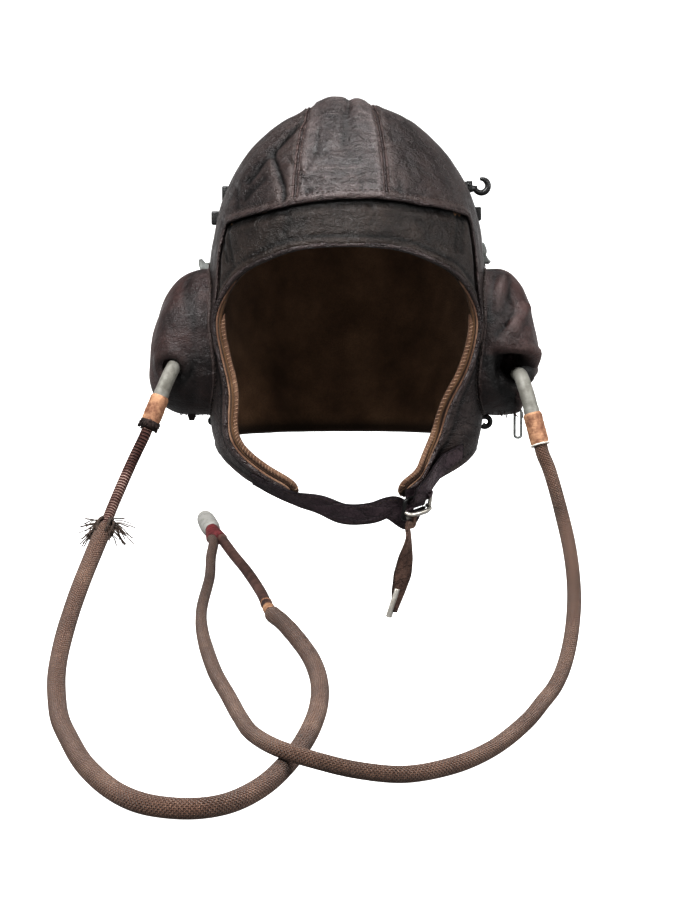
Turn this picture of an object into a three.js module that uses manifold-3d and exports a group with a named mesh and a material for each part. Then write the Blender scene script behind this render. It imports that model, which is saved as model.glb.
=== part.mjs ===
// A leather flying helmet with two ear cups and a pair of speaking tubes.
// Millimetres, +Z up. The face opening looks along -Y; nodes named left are at -X and right at +X.
// The origin is the crown's seat, inside the lining, and the helmet leans back about it.

import * as THREE from 'three';
import { mergeVertices } from 'three/addons/utils/BufferGeometryUtils.js';
import Module from 'manifold-3d';

const wasm = await Module();
wasm.setup();

// Walls and clearances
const LEATHER = 1.8;
const LINING = 1.4;
const GAP = 0.3;
const CUP_WALL = 2.2;
const CROWN_TOP = LINING + GAP + LEATHER;

// Helmet body, before it leans back
const HELMET_BREADTH = 165;
const FRONT_REACH = 98.5;
const BACK_REACH = 103;
const HELMET_HEIGHT = 234;
const LEAN = THREE.MathUtils.degToRad(10);
const BROW_TILT = THREE.MathUtils.degToRad(2);
const LINING_SHOWS = 2.6;
const EAR_HOLE = 44;
const CHEEK_TOP = 0.47;
const FLAP_END = 0.97;
const BAND_DEPTH = 0.62;

// Ear cups
const CUP_LENGTH = 84;
const CUP_HEIGHT = 84;
const CUP_DEPTH = 32.5;
const CUP_CENTRE_BACK = 2;
const CUP_CENTRE_DOWN = 0.6175 * HELMET_HEIGHT;
const CUP_TOP = CUP_CENTRE_DOWN - CUP_HEIGHT / 2;
const CUP_LOW = CUP_CENTRE_DOWN + CUP_HEIGHT / 2;

// Speaking tubes
const STUB_WIDTH = 8.6;
const SLEEVE_WIDTH = 11;
const SLEEVE_LENGTH = 17;
const TUBE_WIDTH = 6.2;
const LEFT_HOSE_WIDTH = 9.4;
const RIGHT_HOSE_WIDTH = 7.8;
const TAIL_WIDTH = 6.4;
const INLET_SPACING = 6.8;
const TAPE_LENGTH = 22;
const FERRULE_WIDTH = 12.6;
const FERRULE_LENGTH = 38;

// Chin strap and metal fittings
const STRAP_WIDTH = 15;
const STRAP_THICKNESS = 1.8;
const BUCKLE_WIRE = 2.2;
const BUCKLE_HEIGHT = 12.5;
const TIP_LENGTH = 15;
const TIP_WALL = 0.5;
const HOOK_WIRE = 2.6;
const HOOK_RADIUS = 4.2;
const PULL_WIRE = 1.5;
const CLIP_PROUD = 5.6;
const CLIP_DEEP = 7;

// Cutting shapes and the roots of fittings reach this far past what shows
const ROOM = 60;
const ROOT = 12;

// Fineness of the faceted surfaces
const COLUMNS = 32;
const ROWS_PER_SECTION = 2;
const CUP_SIDES = 16;

// Level sections of the helmet's form: how far down, half width, front and back reach, squareness.
// The lengths are shares of the helmet's height, half breadth, front reach and back reach.
const HEAD_SECTIONS = [
  { down: 0.000, wide: 0.00, front: 0.00, back: 0.00, square: 2.0 },
  { down: 0.019, wide: 0.22, front: 0.22, back: 0.25, square: 2.0 },
  { down: 0.066, wide: 0.50, front: 0.48, back: 0.51, square: 2.0 },
  { down: 0.143, wide: 0.725, front: 0.72, back: 0.74, square: 2.1 },
  { down: 0.254, wide: 0.90, front: 0.92, back: 0.93, square: 2.2 },
  { down: 0.400, wide: 0.985, front: 0.995, back: 1.00, square: 2.3 },
  { down: 0.575, wide: 1.00, front: 1.00, back: 0.96, square: 2.3 },
  { down: 0.750, wide: 0.995, front: 0.96, back: 0.86, square: 2.3 },
  { down: 0.870, wide: 0.96, front: 0.92, back: 0.77, square: 2.25 },
  { down: 0.945, wide: 0.83, front: 0.845, back: 0.71, square: 2.2 },
  { down: 1.010, wide: 0.64, front: 0.745, back: 0.66, square: 2.2 },
  { down: 1.090, wide: 0.45, front: 0.60, back: 0.58, square: 2.2 },
];

// Bulges (out above zero) and dents in the walls: place and spread are shares of the same lengths,
// and out is a share of the half breadth.
const BULGES = [
  { across: -0.12, forward: 0.05, down: 0.00, spread: 0.17, out: 0.042 },
  { across: 0.92, forward: 0.50, down: 0.57, spread: 0.20, out: 0.030 },
  { across: -0.92, forward: 0.50, down: 0.57, spread: 0.20, out: 0.035 },
  { across: -0.88, forward: 0.54, down: 0.75, spread: 0.22, out: -0.030 },
  { across: 0.84, forward: 0.62, down: 0.815, spread: 0.31, out: -0.140 },
  { across: 0.72, forward: 0.55, down: 0.925, spread: 0.24, out: -0.085 },
  { across: 0.55, forward: 0.66, down: 1.00, spread: 0.16, out: 0.030 },
];

// Side view of the leather's edge, from the brow round the cheek flap to the nape.
// Forward is a share of the front reach, and down a share of the height.
const EDGE_OUTLINE = [
  { forward: 1.20, down: 0.385 },
  { forward: 1.00, down: 0.397 },
  { forward: 0.86, down: 0.432 },
  { forward: 0.72, down: 0.463 },
  { forward: 0.60, down: 0.504 },
  { forward: 0.525, down: 0.555 },
  { forward: 0.505, down: 0.640 },
  { forward: 0.52, down: 0.740 },
  { forward: 0.51, down: 0.850 },
  { forward: 0.545, down: 0.900 },
  { forward: 0.61, down: 0.950 },
  { forward: 0.66, down: 0.984 },
  { forward: 0.61, down: 1.000 },
  { forward: 0.42, down: 0.965 },
  { forward: 0.15, down: 0.905 },
  { forward: -0.25, down: 0.868 },
  { forward: -0.70, down: 0.855 },
  { forward: -1.25, down: 0.850 },
];
const OUTLINE_STEPS = 26;

// Top view of the crown's centre panel: its two seams, from the brow back to the nape.
const CENTRE_PANEL = [
  { forward: 1.2, right: 0.28, left: 0.39 },
  { forward: 0.9, right: 0.265, left: 0.36 },
  { forward: 0.1, right: 0.17, left: 0.26 },
  { forward: -0.6, right: 0.21, left: 0.27 },
  { forward: -1.3, right: 0.31, left: 0.36 },
];

// The crown's front hem, where the brow band starts
const HEM = [
  { forward: 1.2, down: 0.265 },
  { forward: 0.97, down: 0.280 },
  { forward: 0.86, down: 0.302 },
  { forward: 0.50, down: 0.322 },
];

// Small helpers

function halfBreadth() {
  return HELMET_BREADTH / 2;
}

function levelOf(down) {
  return CROWN_TOP - down * HELMET_HEIGHT;
}

function forwardOf(share) {
  return share > 0 ? -share * FRONT_REACH : -share * BACK_REACH;
}

function signedPower(value, power) {
  return Math.sign(value) * Math.abs(value) ** power;
}

function positionsOnly(geometry) {
  const bare = geometry.clone();
  for (const name of Object.keys(bare.attributes)) {
    if (name !== 'position') bare.deleteAttribute(name);
  }
  return mergeVertices(bare, 1e-4);
}

function signedVolume(geometry) {
  const place = geometry.attributes.position;
  const corner = [new THREE.Vector3(), new THREE.Vector3(), new THREE.Vector3()];
  let volume = 0;
  for (let i = 0; i < geometry.index.count; i += 3) {
    for (let j = 0; j < 3; j += 1) corner[j].fromBufferAttribute(place, geometry.index.getX(i + j));
    volume += corner[0].dot(corner[1].cross(corner[2])) / 6;
  }
  return volume;
}

function solidOf(geometry) {
  const bare = positionsOnly(geometry);
  const triangles = Uint32Array.from(bare.index.array);
  if (signedVolume(bare) < 0) {
    for (let i = 0; i < triangles.length; i += 3) {
      [triangles[i + 1], triangles[i + 2]] = [triangles[i + 2], triangles[i + 1]];
    }
  }
  const vertices = Float32Array.from(bare.attributes.position.array);
  return new wasm.Manifold(new wasm.Mesh({ numProp: 3, vertProperties: vertices, triVerts: triangles }));
}

function geometryOf(solid) {
  const mesh = solid.getMesh();
  const geometry = new THREE.BufferGeometry();
  geometry.setAttribute('position', new THREE.BufferAttribute(mesh.vertProperties, 3));
  geometry.setIndex(new THREE.BufferAttribute(mesh.triVerts, 1));
  const flat = geometry.toNonIndexed();
  flat.computeVertexNormals();
  return flat;
}

function joined(...solids) {
  return solids.reduce((sum, next) => sum.add(next));
}

function placed(geometry, position, turn = new THREE.Euler()) {
  const copy = geometry.clone();
  copy.applyMatrix4(new THREE.Matrix4().makeRotationFromEuler(turn));
  copy.translate(position.x, position.y, position.z);
  return solidOf(copy);
}

// A closed surface through rings of points, with a fan of triangles over each end
function ringSurface(rings, start, end) {
  const count = rings[0].length;
  const points = [start, ...rings.flat(), end];
  const last = points.length - 1;
  const triangles = [];
  const at = (ring, step) => 1 + ring * count + (step % count);
  for (let step = 0; step < count; step += 1) {
    triangles.push(0, at(0, step + 1), at(0, step));
    triangles.push(last, at(rings.length - 1, step), at(rings.length - 1, step + 1));
    for (let ring = 0; ring < rings.length - 1; ring += 1) {
      triangles.push(at(ring, step), at(ring, step + 1), at(ring + 1, step));
      triangles.push(at(ring, step + 1), at(ring + 1, step + 1), at(ring + 1, step));
    }
  }
  const geometry = new THREE.BufferGeometry().setFromPoints(points);
  geometry.setIndex(triangles);
  return geometry;
}

function centreOf(points) {
  const centre = new THREE.Vector3();
  for (const point of points) centre.add(point);
  return centre.divideScalar(points.length);
}

// The helmet's form

function sectionAt(place) {
  const last = HEAD_SECTIONS.length - 1;
  const index = Math.min(Math.floor(place), last - 1);
  const share = place - index;
  const pick = (step) => HEAD_SECTIONS[THREE.MathUtils.clamp(step, 0, last)];
  const blended = {};
  for (const column of ['down', 'wide', 'front', 'back', 'square']) {
    const [a, b, c, d] = [index - 1, index, index + 1, index + 2].map((step) => pick(step)[column]);
    const bend = 2 * a - 5 * b + 4 * c - d;
    const lift = 3 * (b - c) + d - a;
    blended[column] = 0.5 * (2 * b + share * (c - a + share * (bend + share * lift)));
  }
  return blended;
}

// Where a level lies in the table of sections, found by halving
function placeOfLevel(down) {
  let low = 0;
  let high = HEAD_SECTIONS.length - 1;
  for (let step = 0; step < 30; step += 1) {
    const middle = (low + high) / 2;
    if (sectionAt(middle).down < down) low = middle;
    else high = middle;
  }
  return (low + high) / 2;
}

function plainPoint(place, turn) {
  const section = sectionAt(place);
  const power = 2 / section.square;
  const forward = Math.cos(turn);
  const reach = forward > 0 ? section.front * FRONT_REACH : section.back * BACK_REACH;
  return new THREE.Vector3(
    section.wide * halfBreadth() * signedPower(Math.sin(turn), power),
    -reach * signedPower(forward, power),
    levelOf(section.down),
  );
}

function outwardAt(place, turn) {
  const nudge = 0.02;
  if (place < nudge) return new THREE.Vector3(0, 0, 1);
  const along = plainPoint(place + nudge, turn).sub(plainPoint(place - nudge, turn));
  const around = plainPoint(place, turn + nudge).sub(plainPoint(place, turn - nudge));
  return along.cross(around).normalize();
}

function bulgeAt(point) {
  let out = 0;
  for (const bulge of BULGES) {
    const away = new THREE.Vector3(
      point.x / halfBreadth() - bulge.across,
      (point.y - forwardOf(bulge.forward)) / halfBreadth(),
      (point.z - levelOf(bulge.down)) / halfBreadth(),
    );
    out += bulge.out * halfBreadth() * Math.exp(-away.lengthSq() / (bulge.spread ** 2));
  }
  return out;
}

// A point of the helmet's wall, so deep under the leather's outer face
function wallPoint(place, turn, depth) {
  const point = plainPoint(place, turn);
  const out = outwardAt(place, turn);
  return point.addScaledVector(out, bulgeAt(point) - depth);
}

function headForm(depth) {
  const rings = [];
  const count = (HEAD_SECTIONS.length - 1) * ROWS_PER_SECTION;
  for (let row = 1; row <= count; row += 1) {
    const ring = [];
    for (let column = 0; column < COLUMNS; column += 1) {
      ring.push(wallPoint(row / ROWS_PER_SECTION, (2 * Math.PI * column) / COLUMNS, depth));
    }
    rings.push(ring);
  }
  return solidOf(ringSurface(rings, wallPoint(0, 0, depth), centreOf(rings[rings.length - 1])));
}

// The point of the outer face on a level, straight out at one side, so far forward
function sidePoint(side, forward, down, depth = 0) {
  const place = placeOfLevel(down);
  const section = sectionAt(place);
  const reach = forward > 0 ? section.front * FRONT_REACH : section.back * BACK_REACH;
  const share = Math.min(Math.abs(forwardOf(forward)) / reach, 1);
  const turn = Math.acos(Math.sign(forward) * share ** (section.square / 2));
  return wallPoint(place, side * turn, depth);
}

// Cutting shapes

function sidePrism(points) {
  const shape = new THREE.Shape(points.map((point) => new THREE.Vector2(point.y, point.z)));
  const across = 2 * HELMET_BREADTH;
  const geometry = new THREE.ExtrudeGeometry(shape, { depth: across, bevelEnabled: false });
  geometry.translate(0, 0, -across / 2);
  geometry.applyMatrix4(new THREE.Matrix4().makeBasis(
    new THREE.Vector3(0, 1, 0),
    new THREE.Vector3(0, 0, 1),
    new THREE.Vector3(1, 0, 0),
  ));
  return geometry;
}

// The walls are kept where this prism holds them: above and behind the leather's edge
function keptPrism(shows) {
  const marks = EDGE_OUTLINE.map((row) => new THREE.Vector3(0, forwardOf(row.forward), levelOf(row.down)));
  const outline = new THREE.CatmullRomCurve3(marks, false, 'centripetal');
  const edge = outline.getPoints(OUTLINE_STEPS);
  const flapEnd = levelOf(FLAP_END);
  const cheekTop = levelOf(CHEEK_TOP);
  for (const point of edge) {
    const onCheek = point.z < cheekTop && point.y < 0;
    const share = onCheek ? THREE.MathUtils.smoothstep(cheekTop - point.z, 0, 20) : -0.4;
    point.y -= point.z > flapEnd ? shows * share : 0;
  }
  const top = new THREE.Vector3(0, -FRONT_REACH - ROOM, CROWN_TOP + ROOM);
  const back = new THREE.Vector3(0, BACK_REACH + ROOM, top.z);
  const low = new THREE.Vector3(0, back.y, edge[edge.length - 1].z);
  const front = new THREE.Vector3(0, top.y, edge[0].z);
  return solidOf(sidePrism([...edge, low, back, top, front]));
}

function centrePrism(grow) {
  const seam = (side, column) => CENTRE_PANEL.map((row) => new THREE.Vector2(
    side * (row[column] * halfBreadth() + grow),
    forwardOf(row.forward),
  ));
  const outline = [...seam(-1, 'left'), ...seam(1, 'right').reverse()];
  const depth = 2 * HELMET_HEIGHT;
  const geometry = new THREE.ExtrudeGeometry(new THREE.Shape(outline), { depth, bevelEnabled: false });
  geometry.translate(0, 0, ROOM - depth);
  return solidOf(geometry);
}

function browPrism(grow) {
  const marks = HEM.map((row) => new THREE.Vector3(0, forwardOf(row.forward), levelOf(row.down) + grow));
  marks[marks.length - 1].y += grow;
  const last = marks[marks.length - 1];
  const low = levelOf(BAND_DEPTH);
  const geometry = sidePrism([
    ...marks,
    new THREE.Vector3(0, last.y, low),
    new THREE.Vector3(0, marks[0].y, low),
  ]);
  const pivot = levelOf(HEM[1].down);
  geometry.translate(0, 0, -pivot);
  geometry.rotateY(-BROW_TILT);
  geometry.translate(0, 0, pivot);
  return solidOf(geometry);
}

function sideHalf(side) {
  const size = 3 * HELMET_BREADTH;
  const box = new THREE.BoxGeometry(size, 2 * size, 2 * size);
  return placed(box, new THREE.Vector3((side * size) / 2, 0, 0));
}

function cupCentre(side) {
  return new THREE.Vector3(side * halfBreadth(), CUP_CENTRE_BACK, CROWN_TOP - CUP_CENTRE_DOWN);
}

function earHole(side, grow) {
  const radius = EAR_HOLE / 2 + grow;
  const rod = new THREE.CylinderGeometry(radius, radius, halfBreadth(), 20);
  return placed(rod, cupCentre(side), new THREE.Euler(0, 0, Math.PI / 2));
}

// Pieces

const worn = new THREE.Group();
worn.rotation.x = -LEAN;
const laid = new THREE.Group();

function addPiece(group, name, solid, look) {
  const mesh = new THREE.Mesh(geometryOf(solid), new THREE.MeshStandardMaterial(look));
  mesh.name = name;
  group.add(mesh);
}

const LOOKS = {
  crown: { color: 0x3b302f, roughness: 0.5, metalness: 0 },
  side: { color: 0x3a2c2a, roughness: 0.52, metalness: 0 },
  brow: { color: 0x231f1e, roughness: 0.5, metalness: 0 },
  cup: { color: 0x3f2826, roughness: 0.5, metalness: 0 },
  lining: { color: 0x9b7452, roughness: 0.95, metalness: 0 },
  strap: { color: 0x3a2a2a, roughness: 0.6, metalness: 0 },
  tail: { color: 0x4e3a31, roughness: 0.7, metalness: 0 },
  stub: { color: 0x8d8f84, roughness: 0.45, metalness: 0.4 },
  sleeve: { color: 0xb0713a, roughness: 0.8, metalness: 0 },
  rubber: { color: 0x54352d, roughness: 0.7, metalness: 0 },
  braid: { color: 0x5a4436, roughness: 0.95, metalness: 0 },
  tape: { color: 0x8e2a2c, roughness: 0.7, metalness: 0 },
  ferrule: { color: 0xc9c8c2, roughness: 0.5, metalness: 0.2 },
  black: { color: 0x151515, roughness: 0.45, metalness: 0.6 },
  grey: { color: 0x70706b, roughness: 0.5, metalness: 0.8 },
  silver: { color: 0xc8c4b8, roughness: 0.35, metalness: 0.95 },
};

const outerForm = headForm(0);
const seatForm = headForm(-GAP);
const leatherKept = keptPrism(0);
const flapSeat = seatForm.intersect(keptPrism(LINING_SHOWS + GAP));

function leatherWall() {
  return outerForm.subtract(headForm(LEATHER)).intersect(leatherKept);
}

function buildCrownAndBrow() {
  const wall = leatherWall();
  const brow = wall.intersect(browPrism(0));
  addPiece(worn, 'brow_band', brow, LOOKS.brow);
  const crown = wall.subtract(browPrism(GAP));
  addPiece(worn, 'crown_center', crown.intersect(centrePrism(0)), LOOKS.crown);
  const sides = crown.subtract(centrePrism(GAP));
  for (const [side, word] of [[-1, 'left'], [1, 'right']]) {
    const panel = sides.intersect(sideHalf(side)).subtract(earHole(side, 0));
    addPiece(worn, `side_${word}`, panel, LOOKS.side);
  }
}

function buildLining() {
  const start = LEATHER + GAP;
  const wall = headForm(start).subtract(headForm(start + LINING));
  const shown = wall.intersect(keptPrism(LINING_SHOWS));
  addPiece(worn, 'lining', shown.subtract(earHole(-1, 2)).subtract(earHole(1, 2)), LOOKS.lining);
}

// One ear cup's domed form, grown smaller by inset. Bottom is the lower end of its bulge.
const CUP_RISE = [0, 0.34, 0.62, 0.84, 1.06, 1.3];
const CUP_POWER = 2 / 2.7;

function cupForm(side, inset) {
  const centre = cupCentre(side);
  const rings = [];
  const addRing = (x, share, drop) => {
    const ring = [];
    for (let step = 0; step < CUP_SIDES; step += 1) {
      const turn = (2 * Math.PI * step) / CUP_SIDES;
      const y = signedPower(Math.cos(turn), 0.8) * (CUP_LENGTH / 2 - inset) * share;
      const z = signedPower(Math.sin(turn), 0.8) * (CUP_HEIGHT / 2 - inset) * share;
      const slope = 1 - (0.1 * z) / CUP_HEIGHT;
      const point = new THREE.Vector3(side * x * slope, centre.y + y, centre.z + z - drop);
      ring.push(dentedCup(side, point));
    }
    rings.push(ring);
  };
  const base = halfBreadth() - CUP_DEPTH / 2;
  addRing(base, 1, 0);
  const depth = CUP_DEPTH - inset;
  for (const rise of CUP_RISE) {
    const share = signedPower(Math.cos(rise), CUP_POWER);
    const out = halfBreadth() + depth * signedPower(Math.sin(rise), CUP_POWER);
    addRing(out, share, 0.1 * CUP_HEIGHT * (1 - share));
  }
  return solidOf(ringSurface(rings, centreOf(rings[0]), centreOf(rings[rings.length - 1])));
}

// Folds of the right cup: leather pushed in around the tube's mouth, under an overhanging fold
const CUP_DENTS = [
  { side: 1, out: 0.62, back: -0.47, up: -0.24, spread: 0.15, deep: 0.11 },
  { side: 1, out: 0.60, back: -0.46, up: -0.03, spread: 0.12, deep: -0.035 },
  { side: -1, out: 0.55, back: -0.48, up: -0.20, spread: 0.10, deep: 0.03 },
];

function dentedCup(side, point) {
  const centre = cupCentre(side);
  const moved = point.clone();
  for (const dent of CUP_DENTS.filter((row) => row.side === side)) {
    const place = new THREE.Vector3(
      centre.x + side * dent.out * CUP_DEPTH,
      centre.y + dent.back * CUP_LENGTH,
      centre.z + dent.up * CUP_HEIGHT,
    );
    const away = point.distanceTo(place) / (dent.spread * CUP_HEIGHT);
    const near = Math.exp(-away * away);
    moved.addScaledVector(centre.clone().sub(place).normalize(), near * dent.deep * CUP_HEIGHT);
  }
  return moved;
}

// The stub leaves the front of the cup and bends down; its points are shares of the cup's sizes
const STUB_ROUTE = {
  left: [
    { out: 0.56, back: -0.26, up: -0.17 },
    { out: 0.585, back: -0.45, up: -0.185 },
    { out: 0.69, back: -0.53, up: -0.28 },
    { out: 0.81, back: -0.56, up: -0.40 },
  ],
  right: [
    { out: 0.56, back: -0.26, up: -0.23 },
    { out: 0.59, back: -0.43, up: -0.25 },
    { out: 0.68, back: -0.515, up: -0.37 },
    { out: 0.775, back: -0.545, up: -0.518 },
  ],
};

function sideOf(word) {
  return word === 'left' ? -1 : 1;
}

function stubCurve(word) {
  const side = sideOf(word);
  const centre = cupCentre(side);
  return new THREE.CatmullRomCurve3(STUB_ROUTE[word].map((row) => new THREE.Vector3(
    centre.x + side * row.out * CUP_DEPTH,
    centre.y + row.back * CUP_LENGTH,
    centre.z + row.up * CUP_HEIGHT,
  )));
}

function roundSection(width, sides) {
  const points = [];
  for (let step = 0; step < sides; step += 1) {
    const turn = (2 * Math.PI * step) / sides;
    points.push(new THREE.Vector2((Math.cos(turn) * width) / 2, (Math.sin(turn) * width) / 2));
  }
  return new THREE.Shape(points);
}

function tubeAlong(curve, width, steps, sides) {
  return solidOf(new THREE.ExtrudeGeometry(roundSection(width, sides), { steps, extrudePath: curve }));
}

function straightTube(from, to, width, sides) {
  return tubeAlong(new THREE.LineCurve3(from, to), width, 1, sides);
}

function sleeveEnds(word) {
  const curve = stubCurve(word);
  const end = curve.getPointAt(1);
  const along = curve.getTangentAt(1);
  return {
    along,
    top: end.clone().addScaledVector(along, GAP),
    low: end.clone().addScaledVector(along, GAP + SLEEVE_LENGTH),
  };
}

function buildCups() {
  for (const word of ['left', 'right']) {
    const side = sideOf(word);
    const mouth = tubeAlong(stubCurve(word), STUB_WIDTH + 2 * GAP, 6, 10);
    const cup = cupForm(side, 0).subtract(cupForm(side, CUP_WALL)).subtract(seatForm).subtract(mouth);
    addPiece(worn, `ear_cup_${word}`, cup, LOOKS.cup);
    addPiece(worn, `stub_${word}`, tubeAlong(stubCurve(word), STUB_WIDTH, 6, 10), LOOKS.stub);
    const ends = sleeveEnds(word);
    addPiece(worn, `sleeve_${word}`, straightTube(ends.top, ends.low, SLEEVE_WIDTH, 12), LOOKS.sleeve);
  }
}

// A flat strap through points, each with the way its outer face looks
function ribbon(rows, width, thickness, steps) {
  const path = new THREE.CatmullRomCurve3(rows.map((row) => row.at), false, 'centripetal');
  const facing = new THREE.CatmullRomCurve3(rows.map((row) => row.facing.clone().normalize()));
  const rings = [];
  for (let step = 0; step <= steps; step += 1) {
    const share = step / steps;
    const along = path.getTangent(share);
    const across = along.clone().cross(facing.getPoint(share)).normalize();
    const out = across.clone().cross(along);
    const corners = [[1, 1], [1, -1], [-1, -1], [-1, 1]];
    rings.push(corners.map(([wide, thick]) => path.getPoint(share)
      .addScaledVector(across, (wide * width) / 2)
      .addScaledVector(out, (thick * thickness) / 2)));
  }
  return solidOf(ringSurface(rings, centreOf(rings[0]), centreOf(rings[steps])));
}

// The buckle's own directions: along its bars, up towards the flap, and out from the neck
const BUCKLE_BARS = new THREE.Vector3(0.75, 0.62, 0.2).normalize();
const BUCKLE_OUT = new THREE.Vector3(0.643, -0.657, -0.375);
const BUCKLE_UP = BUCKLE_OUT.clone().cross(BUCKLE_BARS).normalize();
BUCKLE_OUT.copy(BUCKLE_BARS.clone().cross(BUCKLE_UP));

// Points of the strap are shares of the half breadth, the front reach and the height
const CHIN_ROUTE = [
  { across: -0.35, forward: 0.675, down: 1.006, facing: [-0.4, -0.5, -0.8] },
  { across: -0.185, forward: 0.70, down: 1.019, facing: [-0.2, -0.75, -0.65] },
  { across: -0.02, forward: 0.71, down: 1.041, facing: [0, -0.8, -0.6] },
  { across: 0.165, forward: 0.70, down: 1.039, facing: [0.2, -0.8, -0.55] },
  { across: 0.30, forward: 0.675, down: 1.026, facing: [0.4, -0.75, -0.5] },
];

// The strap's free end hangs from the buckle and twists; places are from the buckle's centre
const TAIL_DROP = [
  { right: -5, back: -8, down: 17, facing: [1, -0.25, 0] },
  { right: -6.5, back: -8.5, down: 28, facing: [0.9, -0.5, 0] },
  { right: -8.5, back: -8.5, down: 39, facing: [0.85, -0.6, 0] },
  { right: -11.5, back: -8.5, down: 48, facing: [1, -0.15, 0] },
];
const TIP_DROP = { right: -16, back: -8.5, down: 62 };

function buckleCentre() {
  return new THREE.Vector3(0.48 * halfBreadth(), forwardOf(0.66), levelOf(1.022));
}

function fromBuckle(up, out) {
  return buckleCentre().addScaledVector(BUCKLE_UP, up).addScaledVector(BUCKLE_OUT, out);
}

function dropPoint(row) {
  return buckleCentre().add(new THREE.Vector3(row.right, row.back, -row.down));
}

// Three rows that take a strap over a bar, towards +1 from inside to outside or -1 the other way
function roundBar(bar, towards) {
  const clear = BUCKLE_WIRE / 2 + GAP + STRAP_THICKNESS / 2 + 0.7;
  return [
    { at: fromBuckle(bar, -towards * clear), facing: BUCKLE_OUT.clone() },
    { at: fromBuckle(bar + towards * (clear + 1), 0), facing: BUCKLE_UP.clone().negate() },
    { at: fromBuckle(bar, towards * clear), facing: BUCKLE_OUT.clone().negate() },
  ];
}

function facingOf(row) {
  return new THREE.Vector3(...row.facing);
}

function buildChinStrap() {
  const clear = -(GAP + STRAP_THICKNESS / 2 + 0.4);
  const seat = [
    { at: sidePoint(-1, 0.53, 0.955, clear), facing: new THREE.Vector3(-0.6, -0.4, -0.65) },
    { at: sidePoint(-1, 0.61, 0.980, clear), facing: new THREE.Vector3(-0.5, -0.45, -0.75) },
  ];
  const loop = CHIN_ROUTE.map((row) => ({
    at: new THREE.Vector3(row.across * halfBreadth(), forwardOf(row.forward), levelOf(row.down)),
    facing: facingOf(row),
  }));
  const turn = roundBar(-BUCKLE_HEIGHT / 2, 1);
  const tail = TAIL_DROP.map((row) => ({ at: dropPoint(row), facing: facingOf(row).negate() }));
  turn.unshift({ at: fromBuckle(-BUCKLE_HEIGHT / 2 - 5, -4.4), facing: BUCKLE_OUT.clone() });
  turn.push({ at: fromBuckle(-BUCKLE_HEIGHT / 2 - 5, 3.8), facing: BUCKLE_OUT.clone().negate() });
  const strap = ribbon([...seat, ...loop, ...turn, ...tail], STRAP_WIDTH, STRAP_THICKNESS, 54);
  addPiece(worn, 'chin_strap', strap.subtract(flapSeat).subtract(buckleFrame(GAP)), LOOKS.strap);
}

// The buckle's frame, or with grow the room that the straps leave around it
function buckleFrame(grow) {
  const wire = BUCKLE_WIRE + 2 * grow;
  const half = STRAP_WIDTH / 2 + 1.6 + BUCKLE_WIRE + grow;
  const tall = (BUCKLE_HEIGHT + wire) / 2;
  const frame = new THREE.Shape([
    new THREE.Vector2(-half, -tall), new THREE.Vector2(half, -tall),
    new THREE.Vector2(half, tall), new THREE.Vector2(-half, tall),
  ]);
  const inside = half - wire;
  const gap = tall - wire;
  frame.holes.push(new THREE.Path([
    new THREE.Vector2(-inside, -gap), new THREE.Vector2(-inside, gap),
    new THREE.Vector2(inside, gap), new THREE.Vector2(inside, -gap),
  ]));
  const bevel = 0.4;
  const geometry = new THREE.ExtrudeGeometry(frame, {
    depth: wire - 2 * bevel,
    bevelSize: bevel,
    bevelThickness: bevel,
    bevelOffset: -bevel,
    bevelSegments: 1,
  });
  geometry.translate(0, 0, bevel - wire / 2);
  geometry.applyMatrix4(new THREE.Matrix4().makeBasis(BUCKLE_BARS, BUCKLE_UP, BUCKLE_OUT));
  const centre = buckleCentre();
  geometry.translate(centre.x, centre.y, centre.z);
  return solidOf(geometry);
}

function buildBuckleStrap() {
  const clear = -(GAP + STRAP_THICKNESS / 2 + 0.4);
  const seat = [
    { at: sidePoint(1, 0.39, 0.90, clear), facing: new THREE.Vector3(0.9, -0.35, -0.3) },
    { at: sidePoint(1, 0.48, 0.94, clear - 0.7), facing: new THREE.Vector3(0.85, -0.45, -0.3) },
  ];
  const turn = roundBar(BUCKLE_HEIGHT / 2, -1);
  turn.unshift({ at: fromBuckle(BUCKLE_HEIGHT / 2 + 5, 4.6), facing: BUCKLE_OUT.clone() });
  const end = { at: fromBuckle(BUCKLE_HEIGHT / 2 + 4, -3.8), facing: BUCKLE_OUT.clone().negate() };
  const strap = ribbon([...seat, ...turn, end], STRAP_WIDTH, STRAP_THICKNESS, 22);
  addPiece(worn, 'buckle_strap', strap.subtract(seatForm).subtract(buckleFrame(GAP)), LOOKS.strap);
}

function buildStrapTip() {
  const from = dropPoint(TAIL_DROP[TAIL_DROP.length - 1]);
  const to = dropPoint(TIP_DROP);
  const along = to.clone().sub(from).normalize();
  const start = from.clone().addScaledVector(along, GAP);
  const facing = facingOf(TAIL_DROP[TAIL_DROP.length - 1]);
  const end = start.clone().addScaledVector(along, TIP_LENGTH);
  const thick = STRAP_THICKNESS + 2 * TIP_WALL;
  const tip = ribbon([{ at: start, facing }, { at: end, facing }], STRAP_WIDTH * 0.8, thick, 1);
  addPiece(worn, 'strap_tip', tip, LOOKS.silver);
}

// Metal fittings of the two sides: what stands on the wall, how far back and down, and its size.
// Each has its own node; proud, deep and tall are its size outward, along and upward.
const FITTINGS = [
  { name: 'hook_plate_left', side: -1, back: 12, down: 0.2393 * HELMET_HEIGHT, proud: 3.2, deep: 9, tall: 9 },
  { name: 'strap_tab_right', side: 1, back: 12, down: 0.2906 * HELMET_HEIGHT, proud: 5, deep: 7, tall: 8 },
  { name: 'strap_tab_left', side: -1, back: 12, down: 0.3013 * HELMET_HEIGHT, proud: 5, deep: 7, tall: 8 },
  { name: 'lower_stud_left', side: -1, back: 0, down: CUP_LOW + 5.5, proud: 2.6, deep: 6, tall: 5 },
];

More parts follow.
